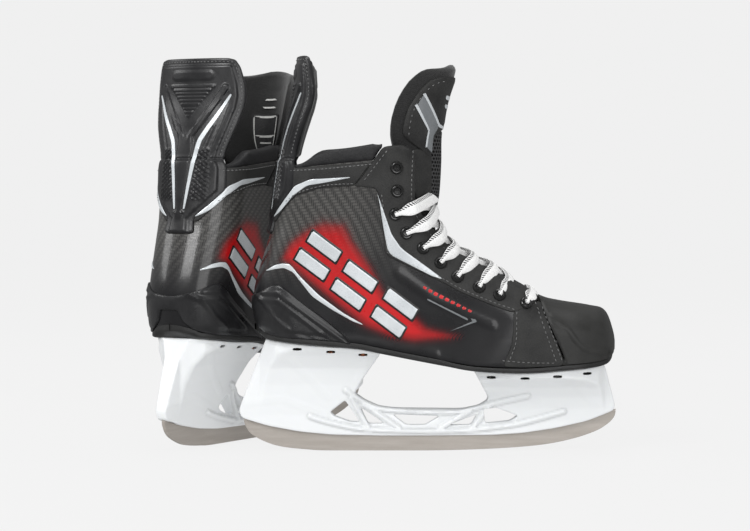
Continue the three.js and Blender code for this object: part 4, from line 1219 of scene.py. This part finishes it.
def guard_relief(u, v):
    """A flat sewn border round a raised field, ridges along its edges, a Y of two arms and a
    stem, a ribbed triangle between the arms, slant ribs beside the stem, and a raised bar."""
    width = np.interp(v, *np.array(GUARD_HALF).T)
    a = np.abs(u)
    inner = np.minimum(width - a, GUARD_TOP - v)
    field = 1.1 * smoothstep(inner, 5.6, 6.8)
    arms = np.max([1 - smoothstep(distance(u, v, arm), 2.0, 3.0) for arm in GUARD_ARMS], 0)
    stem = (1 - smoothstep(a, 2.6, 3.6)) * (1 - smoothstep(v, 258, 266))
    stem = stem * smoothstep(v, 190, 198)
    fins = np.max([1 - smoothstep(np.abs(inner - at), 0.2, 1.5) for at in (11.5, 16.5)], 0)
    fins = fins * smoothstep(v, 246, 252) * (1 - smoothstep(v, 296, 304))
    triangle = smoothstep((v - 276) * 0.80 - a, 0, 1.2) * (1 - smoothstep(v, 304, 305.2))
    ribs = smoothstep(np.cos(v * 2 * math.pi / 3.1), -0.3, 0.3)
    slant = smoothstep(np.cos((v + a * 0.9) * 2 * math.pi / 3.8), -0.3, 0.3)
    zone = (smoothstep(a + (250 - v) * 0.1, 12.5, 13.5) * (1 - smoothstep(a, 21, 22))
            * smoothstep(v, 208, 210) * (1 - smoothstep(v, 250, 253)))
    bar = 1 - smoothstep(distance(u, v, [(-17, 313), (17, 313)]), 3.2, 4.2)
    clear = smoothstep(distance(a, v, GUARD_SILVER), 1.8, 3.0)
    return (field + clear * np.maximum(1.3 * np.maximum(arms, stem), 0.5 * fins)
            + triangle * (0.35 + 0.6 * ribs) + 0.8 * slant * zone + 0.7 * bar)


def guard_face(v):
    """The guard's face above the skin: further out on its fixed part, below the hinge."""
    return 0.9 + 1.3 * guard_fixed(v)


def guard_fixed(v):
    """1 on the guard's fixed part and 0 above the hinge."""
    return 1 - smoothstep(v, GUARD_HINGE - 4, GUARD_HINGE + 4)


def tendon_guard():
    """The moulded guard over its fixed lower part in one piece, with a groove at the hinge, two
    silver lines and a sewn border."""
    outline = guard_outline(181, GUARD_TOP)
    places, faces = fill([outline], 1.15)
    u, v = places.T
    away = distance(u, v, outline, True)
    groove = 0.9 * (1 - smoothstep(np.abs(v - GUARD_HINGE), 0.5, 1.6))
    height = (guard_face(v) - rounding(away, 1.4, 1.3)
              + guard_relief(u, v) * smoothstep(away, 0.3, 1.6) - groove)
    under = -2.3 + 2.7 * guard_fixed(v)
    shape = two_sheets(GUARD.at(u, v, height), GUARD.at(u, v, under), faces, places)
    add("tendon_guard", shape, "guard", "guard_plastic", ["tendon_guard", "tendon_guard_base"],
        **ON_GUARD)

    path = spline(GUARD_SILVER, 60)
    width = 1.8 * np.sin(np.linspace(0.12, math.pi - 0.12, len(path))) ** 0.5
    run = unit(np.gradient(path, axis=0))
    square = np.stack([-run[:, 1], run[:, 0]], 1) * width[:, None]
    loop = np.vstack([path + square, (path - square)[::-1]])
    lines = []
    for sign in (1, -1):
        places, faces = fill([(loop * [sign, 1])[::sign]], 1.6, rings=())
        u, v = places.T
        rise = guard_face(v) + np.maximum(guard_relief(u, v), 0)
        lines.append(two_sheets(GUARD.at(u, v, rise + 0.35), GUARD.at(u, v, rise - 0.5), faces,
                                places))
    add("guard_lines", joined(lines), "silver", "silver_film", **ON_GUARD)

    inset = 3.0
    line = guard_outline(246, GUARD_TOP - inset, inset)
    seam = stitches(GUARD, line[line[:, 1] > 247], 0.95, 2.0, 3.2, bend=False)
    add("guard_stitches", seam, "thread", "guard_plastic", **ON_GUARD)


def guard_pad():
    """The padded inside of the guard: plump away from its edge, with two crossed seams."""
    outline = guard_outline(GUARD_HINGE + 1.5, 321, 3.2)
    places, faces = fill([outline], 2.4, rings=(0.6, 1.6, 3.2))
    u, v = places.T
    away = distance(u, v, outline, True)
    plump = np.sqrt(1 - np.clip(1 - away / 7, 0, 1) ** 2)
    seam = (ridge(u, v, [(-50, 302), (50, 302)], 2.4, 1.6)
            + ridge(u, v, [(0, 250), (0, 300)], 2.2, 1.1))
    inner = -3.0 - 7.2 * plump + seam * smoothstep(away, 1, 6)
    shape = two_sheets(GUARD.at(u, v, -2.6), GUARD.at(u, v, inner), faces, places)
    add("tendon_guard_pad", shape, "lining", "lining", ["tendon_guard_pad"],
        body=ON_GUARD["body"], padded=0.8)


# ---- tongue ----
ON_TONGUE = {"body": "tongue", "bend": [(150, 0, 238), (150, 0, 262)]}


def tongue_height(v):
    return np.interp(v / TONGUE_V, TONGUE_RUN, TONGUE_CURVE[:, 1])


def tongue():
    """Thick felt: loops across the tongue, out along its front and back along its inside,
    with the edges rounded over by the sides of a superellipse."""
    rows = 84
    v = np.linspace(0.004, 0.996, rows) * TONGUE_V
    turn = np.linspace(0, 2 * math.pi, 73)[:-1]
    across = np.sign(np.cos(turn)) * np.abs(np.cos(turn)) ** 0.7
    through = np.sign(np.sin(turn)) * np.abs(np.sin(turn)) ** 0.55
    fade = np.minimum(1, ((TONGUE_V - v) / 12 + 0.01) ** 0.5)[:, None]
    u = TONGUE_U * across[None] * np.ones((rows, 1))
    depth = -TONGUE_THICK / 2 * (1 - through[None] * fade)
    vv = v[:, None] * tongue_top(u)
    # two crossed seams stand out on its inside
    inside_face = np.clip(-np.sin(turn), 0, 1)[None]
    band = ridge(tongue_height(vv), u * 0, [(302, -1), (302, 1)], 1.6, 1.0)
    middle = ridge(u, u * 0, [(0, -1), (0, 1)], 1.6, 0.8) * (tongue_height(vv) > 215)
    points = TONGUE_SKIN.at(u, vv, depth + inside_face * np.maximum(band, middle))
    add("tongue", tube(points, np.stack([u, vv], -1), True), "felt", "felt",
        ["tongue_base", "tongue_top"], **ON_TONGUE)

    def strip(name, left, right, low, high, finish, rise):
        low, high = tongue_v(low), tongue_v(high)
        loop = rounded([(left, low), (right, low), (right, high), (left, high)], True, 1.6, 0.1)
        shape = panel(TONGUE_SKIN, loop, rise, -0.8, step=2.0, edge=0.6)
        add(name, shape, finish, "synthetic_leather", **ON_TONGUE)
    strip("tongue_mesh", -13.5, 13.5, 203, 266, "mesh", 0.7)
    strip("tongue_side_inner", 13.4, 24, 206, 251, "leather", 1.0)
    strip("tongue_side_outer", -24, -13.4, 206, 251, "leather", 1.0)


def tongue_top(u):
    """The share of the tongue's length that is left at a place across: part of an ellipse."""
    return 0.72 + 0.28 * np.sqrt(1 - (u / TONGUE_U) ** 2)


def tongue_v(z):
    """How far along the tongue a height is."""
    return np.interp(z, TONGUE_CURVE[:, 1], TONGUE_RUN) * TONGUE_V


def on_tongue(points, sign=1):
    """Places given as (share across, height), in the tongue's own measure."""
    points = np.array(points, float)
    laid = np.stack([points[:, 0] * TONGUE_U * sign, tongue_v(points[:, 1])], 1)
    return laid[::sign]


PLATE_HALF = [(0, 268), (0.15, 266.5), (0.34, 262.5), (0.44, 255), (0.46, 243), (0.85, 259.5),
              (0.87, 263), (0.82, 279), (0.73, 292), (0.64, 301), (0.5, 306.5), (0.26, 310),
              (0, 311)]
PLATE_BAND = [(0.72, 283.5), (0.51, 266), (0.56, 253.5), (0.46, 248.5), (0.42, 262),
              (0.31, 269.5), (0.67, 291.5)]
PLATE_LINES = [[(0.76, 282.5), (0.525, 265.5), (0.575, 253), (0.545, 252.6), (0.495, 265.8),
                (0.735, 284)],
               [(0.69, 291), (0.32, 269), (0.12, 267.6), (0.12, 270), (0.30, 271.4),
                (0.665, 292.5)]]
PLATE_BARS = [[(-0.24, 285), (0.2, 285), (0.24, 288.2), (-0.2, 288.2)],
              [(-0.2, 292), (0.24, 292), (0.28, 295.2), (-0.16, 295.2)]]


def tongue_plate():
    """The shaped panel sewn to the tongue's top, with a grey band between two silver lines to
    each side and two plain bars in the middle."""
    half = on_tongue(PLATE_HALF)
    outline = even(np.vstack([half, (half * [-1, 1])[-2:0:-1]]), 1.6, True)

    def relief(across, along):
        return 0.5 * smoothstep(distance(across, along, outline, True), 2.4, 3.4)
    shape = panel(TONGUE_SKIN, outline, 1.5, -0.6, step=1.8, edge=1.0, relief=relief)
    add("tongue_plate", shape, "leather", "synthetic_leather", ["tongue_plate"], **ON_TONGUE)

    def print_of(line, rise, sign=1):
        return film(TONGUE_SKIN, even(on_tongue(line, sign), 1.2, True), rise, step=1.6)
    bars = [print_of(line, 2.1, sign) for sign in (1, -1) for line in PLATE_LINES]
    bars += [print_of(bar, 2.0) for bar in PLATE_BARS]
    add("tongue_bars", joined(bars), "silver", "silver_film", **ON_TONGUE)
    bands = [print_of(PLATE_BAND, 2.0, sign) for sign in (1, -1)]
    add("tongue_bands", joined(bands), "grey", "silver_film", **ON_TONGUE)
    border = on_tongue([(0.80, 262), (0.76, 279), (0.67, 291.5), (0.57, 299.5), (0.44, 304)])
    rows = [stitches(TONGUE_SKIN, border * [sign, 1], 1.75, 2.2, 3.3) for sign in (1, -1)]
    add("tongue_stitches", joined(rows), "thread", "synthetic_leather", **ON_TONGUE)


# ---- laces and eyelets ----
def eyelet_rows():
    profile = [(5.3, 1.3), (5.25, 2.1), (4.8, 2.9), (4.0, 3.35), (3.2, 3.2), (2.7, 2.6),
               (2.5, 1.5), (0.6, 1.4)]
    x, z = np.array(EYELETS, float).T
    for name, side in SIDES.items():
        shape = lathes(SIDE[side].at(x, z, 0.3), SIDE[side].normal(x, z), profile, 22)
        add(f"eyelets_{name}", shape, "eyelet", "eyelet_metal", [f"eyelets_{name}"])


FACING_RADIUS = fan_table(FACING_EDGE[::-1])
LACE_ROUND, LACE_SPREAD = 2.0, 3.3     # half its width at an eyelet, and how far it widens


def lace_strand(side, start, end, lift, over=False):
    """A flat lace as a ribbon with a lens-shaped section, carried along a smooth path: out of
    an eyelet, over the facing's edge and the tongue, and under the other facing. It is drawn
    in at the eyelet and lies wide over the tongue."""
    def edge(which, i, rise):
        angle, _ = to_fan(*EYELETS[i])
        x, z = from_fan(angle, np.interp(angle, *FACING_RADIUS) + 0.5)
        return SIDE[which].at(x, z, rise)

    def middle(angle, drop):
        radius = np.interp(angle, *CREST_RADIUS) + 1.0 - drop
        x, z = from_fan(angle, radius)
        return np.array([x, centre_y(x), z])
    eye = np.array(EYELETS[start], float)
    here, there = (to_fan(*EYELETS[i])[0] for i in (start, end))
    mean = (here + there) / 2
    if over:
        arms = [[SIDE[way].at(*eye, 3.0),
                 SIDE[way].at(*eye, 7.5) * 0.55 + edge(way, start, 7.5) * 0.45,
                 edge(way, start, 6.0)] for way in (side, -side)]
        knots = [*arms[0], middle(mean, lift), *arms[1][::-1]]
    else:
        knots = [SIDE[side].at(*eye, 3.0),
                 SIDE[side].at(*eye, 5.6) * 0.75 + edge(side, start, 5) * 0.25,
                 edge(side, start, 5.2), middle(mean, lift), edge(-side, end, 0.6),
                 edge(-side, end, -5.5) + np.array([1, 0, -3])]
    path = even(spline(knots, 200), 1.6)
    tangent = unit(np.gradient(path, axis=0))
    across = unit(np.cross(tangent, path - middle((here + mean) / 2, -45)))
    up = np.cross(across, tangent)
    run = np.linspace(0, 1, len(path))
    from_eye = np.minimum(run, 1 - run) if over else run
    half = LACE_ROUND + LACE_SPREAD * smoothstep(from_eye, 0.02, 0.11 if over else 0.17)
    turn = np.linspace(0, 2 * math.pi, 17)[:-1]
    flat = np.cos(turn)
    thick = np.sin(turn) * (0.7 + 0.5 * (1 - flat ** 2))
    loops = (path[:, None] + across[:, None] * (flat[None] * half[:, None])[..., None]
             + up[:, None] * thick[None, :, None])
    length = np.concatenate([[0], np.cumsum(np.linalg.norm(np.diff(path, axis=0), axis=1))])
    pattern = np.stack(np.broadcast_arrays(length[:, None], flat[None] * side), -1)
    return tube(loops[:, ::-1], pattern[:, ::-1].astype(float))


def lace():
    """A bar over the lowest eyelets, crossings from pair to pair, and a bar at the top one."""
    last = len(EYELETS) - 1
    strands = [lace_strand(OUTER, last, last, 4.0, over=True)]
    for i in range(last - 1, LACED_FROM, -1):
        strands.append(lace_strand(INNER, i, i - 1, 4.6))
        strands.append(lace_strand(OUTER, i, i - 1, 6.4))
    strands.append(lace_strand(OUTER, LACED_FROM, LACED_FROM, 7.4, over=True))
    add("lace", joined(strands), "lace", "lace_cotton", ["lace"])


# ---- holder, runner and rivets ----
def holder_half(x, z):
    """Half the holder's thickness: the lesser of its flare by height and its plan by length,
    eased together, on the tower that the place belongs to, and thin at the bridge."""
    rear, front = (blend_low(np.interp(z, *np.array(flare).T), np.interp(x, *np.array(plan).T))
                   for flare, plan in ((REAR_FLARE, HEEL_PLAN), (FRONT_FLARE, BALL_PLAN)))
    tower = np.maximum(np.where(x < HOLDER_SPLIT, rear, front), TOWER_LEAST)
    bridge = (smoothstep(x, 74, 98) * (1 - smoothstep(x, 184, 226))
              * (1 - smoothstep(z, 40, 52)))
    return tower * (1 - bridge) + BRIDGE_HALF * bridge


def blend_low(a, b, ease=3.0):
    """The lesser of two, with the corner between them rounded."""
    gap = np.clip(0.5 + (b - a) / (2 * ease), 0, 1)
    return b + (a - b) * gap - ease * gap * (1 - gap)


# centre lines of the round beams of the truss, and of fainter ribs on the towers
HOLDER_BEAMS = [[(77, 51), (93.2, 39.9), (107.2, 35), (135.3, 32.9), (167.3, 32.5),
                 (183.4, 35.6), (199.4, 39.7), (227.4, 46.7)],
                [(47, 29), (57, 25.6), (75, 21.2), (95.2, 18), (135.3, 16.6), (175, 17.2),
                 (205.4, 20.6), (227.4, 24.6), (258, 33.5)],
                [(81, 45), (95.2, 20)], [(92, 39), (121.2, 19)], [(155.3, 19), (181, 34)],
                [(183.4, 20.6), (196.4, 38)]]
HOLDER_RIBS = [[(-6, 40), (24, 44), (60, 30)], [(24, 84), (62, 46)], [(98, 82), (86, 58)],
               [(202, 62), (212, 48), (236, 44)], [(262, 62), (284, 40)]]


def holder():
    """The blade holder: a pierced plate with beams, ribs, a lip under the sole and pockets."""
    def flange(span):
        return [(x, sole_z(x) - 0.3) for x in np.linspace(*span, 12)]
    outline = [*flange(REAR_FLANGE), *HOLDER_ARCH, *flange(FRONT_FLANGE), *RUNNER_EDGE,
               *HOLDER_BACK]
    outline = rounded(outline, True, 1.7, 0.1)[::-1]
    holes = [rounded(window, True, 1.2, 0.07) for window in HOLDER_WINDOWS]
    corners = np.array([(-3.4, -5.7), (3.4, -5.7), (3.4, -3.9), (-3.4, -3.9)])
    pockets = [rounded(corners + [x, sole_z(x)], True, 0.8, 0.1)
               for places in RIVETS.values() for x, _ in places]
    beams = [spline(line, 24) for line in HOLDER_BEAMS]

    def half(x, z):
        beam = np.max([ridge(x, z, line, 2.6, 2.5) for line in beams], 0)
        rib = np.max([ridge(x, z, line, 4.5, 0.35) for line in HOLDER_RIBS], 0)
        lip = 0.9 * (1 - smoothstep(sole_z(x) - z, 1.6, 3.0))
        return (holder_half(x, z) + np.maximum(beam, rib) + lip
                - POCKET_DEPTH * in_pocket(x, z))

    def in_pocket(x, z):
        near = np.zeros(np.shape(x), bool)
        for loop in pockets:
            near |= inside(x, z, loop) | (distance(x, z, loop, True) < 0.12)
        return near.astype(float)

    def shade(x, z):
        """Dark in the pockets, and faintly so along both flanks of a beam."""
        away = np.min([distance(x, z, line) for line in beams], 0)
        return np.maximum(in_pocket(x, z), 0.17 * np.exp(-((away - 2.7) / 0.8) ** 2))
    shape = plate(outline, holes, half, step=1.5, edge=1.3, cuts=pockets, shade=shade)
    add("holder", shape, "holder", "holder_plastic", ["holder"], sharp=50)


def runner():
    """Its top edge is sunk in the holder, except at its two ends."""
    lower, upper = spline(RUNNER_LOWER, 200), spline(RUNNER_EDGE, 120)
    upper[4:-4, 1] += 3.0
    outline = even(np.vstack([lower, upper[1:-1]]), 1.8, True)
    shape = plate(outline, [], lambda x, z: np.full_like(x, 1.5), step=2.4, edge=0.35)
    add("runner", shape, "runner", "runner_steel", ["runner"], sharp=30)


def rivets():
    profile = [(0.3, -1.2), (2.2, -0.9), (3.2, -0.2), (3.3, 0.4), (2.1, 0.7), (2.0, 9.4),
               (3.6, 9.8), (3.0, 10.6), (0.3, 10.9)]
    for end, finish in (("front", "steel"), ("rear", "copper")):
        centres = [(x, centre_y(x) + s * y, sole_z(x) - 5.4) for x, y in RIVETS[end]
                   for s in (-1, 1)]
        shape = lathes(centres, np.tile([0, 0, 1.0], (len(centres), 1)), profile, 16)
        add(f"rivets_{end}", shape, finish, f"rivet_{finish}", [f"rivets_{end}"])


# ---- trim ----
HEEL_SWOOSH = [(10, 150.5), (19, 156), (25.5, 157.5), (31.5, 157), (39.5, 147), (55, 131.5),
               (74, 117.5), (93, 106.5), (83, 110), (66, 119.5), (49.5, 130.5), (34, 150.5),
               (26.5, 154), (19, 152.8)]
BAND_SWOOSH = [(17.8, 193.5), (24, 203.5), (36, 220.5), (48.5, 226.5), (83, 228.5),
               (63.5, 224.5), (46, 221.5), (35, 213), (25, 200.5)]
CHEVRON = [(102.5, 216), (108.5, 199), (114.5, 181.5), (122.5, 170), (157.5, 144), (147, 147.5),
           (114, 164.5), (111, 170), (107.5, 189), (104.5, 208.5)]
ARROW = [[(143.6, 129.4), (177, 112.6), (177, 110.9), (143.6, 127.7)],
         [(176.5, 114.5), (190, 112.2), (161.5, 102), (181, 110.6)]]
BARS = [(54.5, 164), (84, 139.5), (117, 117)]
BAR_LENGTH, BAR_SLANT, BAR_OFF = 29, math.radians(-37), (5.0, 7.4)
DASHES, DASH_SLANT = 9, math.radians(-27)
DASH_FROM, DASH_STEP = np.array([141.5, 137.2]), np.array([4.6, -2.35])


def bar_shape(place, length, slant, half):
    """A slanted bar about a place: two long sides along the slant and two short level ends."""
    way = np.array([math.cos(slant), math.sin(slant)])
    side = np.array([0.55, 1.0]) * half
    centre, reach = np.array(place, float), way * length / 2
    return np.array([centre - reach - side, centre + reach - side, centre + reach + side,
                     centre - reach + side])


def both_sides(loop, rise, step=2.4):
    """A printed shape on the outer side and on the inner one."""
    return [film(SIDE[side], loop, rise, step) for side in SIDES.values()]


def round_sides(line, rise):
    """A printed shape to both sides of the unrolled heel."""
    return [film(HEEL, heel_loop(line, -side), rise) for side in SIDES.values()]


def silver_trim():
    """The printed trim: silver lines and chevrons, arrows, barred emblems and red dashes."""
    heel, band, chevron = (rounded(line, True, 2.0, 0.08)
                           for line in (HEEL_SWOOSH, BAND_SWOOSH, CHEVRON))
    shapes = round_sides(heel, 0.3) + round_sides(band, 1.9) + both_sides(chevron, 1.9)
    add("silver_trim", joined(shapes), "silver", "silver_film")
    arrow = [shape for line in ARROW for shape in both_sides(even(line, 1.0, True), 0.2, 1.6)]
    add("arrow_trim", joined(arrow), "grey", "silver_film")

    silver, black, red = [], [], []
    for place in BARS:
        for off in (-1, 1):
            spot = np.array(place) + off * np.array(BAR_OFF)
            edge = bar_shape(spot, BAR_LENGTH + 3.2, BAR_SLANT, 5.7)
            face = bar_shape(spot, BAR_LENGTH, BAR_SLANT, 4.3)
            black += both_sides(even(edge, 1.5, True), 0.15, 2.0)
            silver += both_sides(even(face, 1.5, True), 0.5, 2.0)
    for k in range(DASHES):
        dash = bar_shape(DASH_FROM + DASH_STEP * k, 3.4, DASH_SLANT, 1.4)
        red += both_sides(even(dash, 0.7, True), 0.2, 1.5)
    add("emblem_bars", joined(silver), "silver", "silver_film")
    add("emblem_edges", joined(black), "black", "silver_film")
    add("red_dashes", joined(red), "red", "red_print")


# sewn rows on each side: four on the eyestay, one on the vamp, two at the toe and one below
SIDE_SEAMS = [[(131.2, 249), (130.6, 207), (139.6, 188.5), (152.6, 173), (165.8, 162.2)],
              [(110, 249), (101.5, 238), (93, 227)],
              [(111.5, 166.5), (134, 155.5), (155.5, 145.5), (172, 136.5), (198, 125.6),
               (213.5, 120.2)],
              [(106.5, 213), (109.5, 188), (111.2, 169)],
              [(216.5, 117), (216, 95), (211.5, 81)],
              [(231.8, 124), (236, 112.5), (243.5, 92), (248.3, 79)],
              [(237.5, 120), (241.8, 109), (248.5, 92), (253, 80)],
              [(206, 78.5), (225, 77), (246, 76.5)]]
BAND_SEAMS = [[(30, 208.5), (38.5, 215), (58, 221.3), (82, 223.0)],
              [(34, 233.4), (60, 235.2), (97, 238.8)]]


def seams():
    rows = [stitches(SIDE[side], line, 1.75) for side in SIDES.values() for line in SIDE_SEAMS]
    rows += [stitches(HEEL, unroll(spline(line, 60), sign), 2.0, bend=False)
             for sign in (1, -1) for line in BAND_SEAMS]
    add("seam_stitches", joined(rows), "thread", "synthetic_leather")


def size_label():
    """A dark blank label with a pale border and a few plain rules, sewn to the back of the
    tongue's top."""
    back, margin, line = -TONGUE_THICK - 0.5, 1, 0.7
    left, right, low, high = -9.5, 9.5, tongue_v(247), tongue_v(280)
    middle = (low + high) / 2

    def laid(a, b, c, d, rise, thick):
        loop = even([(a, b), (c, b), (c, d), (a, d)], 1.2, True)
        places, faces = fill([loop], 2.4, rings=())
        u, v = places.T
        return two_sheets(TONGUE_SKIN.at(u, v, back + thick), TONGUE_SKIN.at(u, v, back - rise),
                          faces, places)
    cloth = laid(left - margin, low - margin, right + margin, high + margin, 0.5, 1.6)
    add("size_label", cloth, "collar", "lining", body="tongue")
    rules = [(left, low, right, low + line), (left, high - line, right, high),
             (left, low, left + line, high), (right - line, low, right, high),
             (left, middle, right, middle + line)]
    rules += [(left + 3, low + k, right - 3 - (k % 4), low + k + 1.0)
              for k in (4, 8, 12, 24, 30, 35)]
    add("label_rules", joined([laid(*rule, 0.75, 0.2) for rule in rules]), "label", "lining",
        body="tongue")


make_camera()
make_studio()
for make in (quarter_shell, outsole, toe_cap, heel_counter, eyestays, toe_vamps, collar_bands,
             collar_foam, liner, tendon_guard, guard_pad, tongue, tongue_plate, eyelet_rows,
             lace, holder, runner, rivets, silver_trim, seams, size_label):
    make()

# the nodes kept as they are get their finish
for node, finish in (("footbed", "lining"), ("runner_pin_rear", "steel"),
                     ("runner_pin_front", "steel")):
    for skate in SKATES:
        kept = frame["nodes"][f"{skate.side}_{node}"]
        kept.data.materials.clear()
        kept.data.materials.append(FINISHES[finish].material)
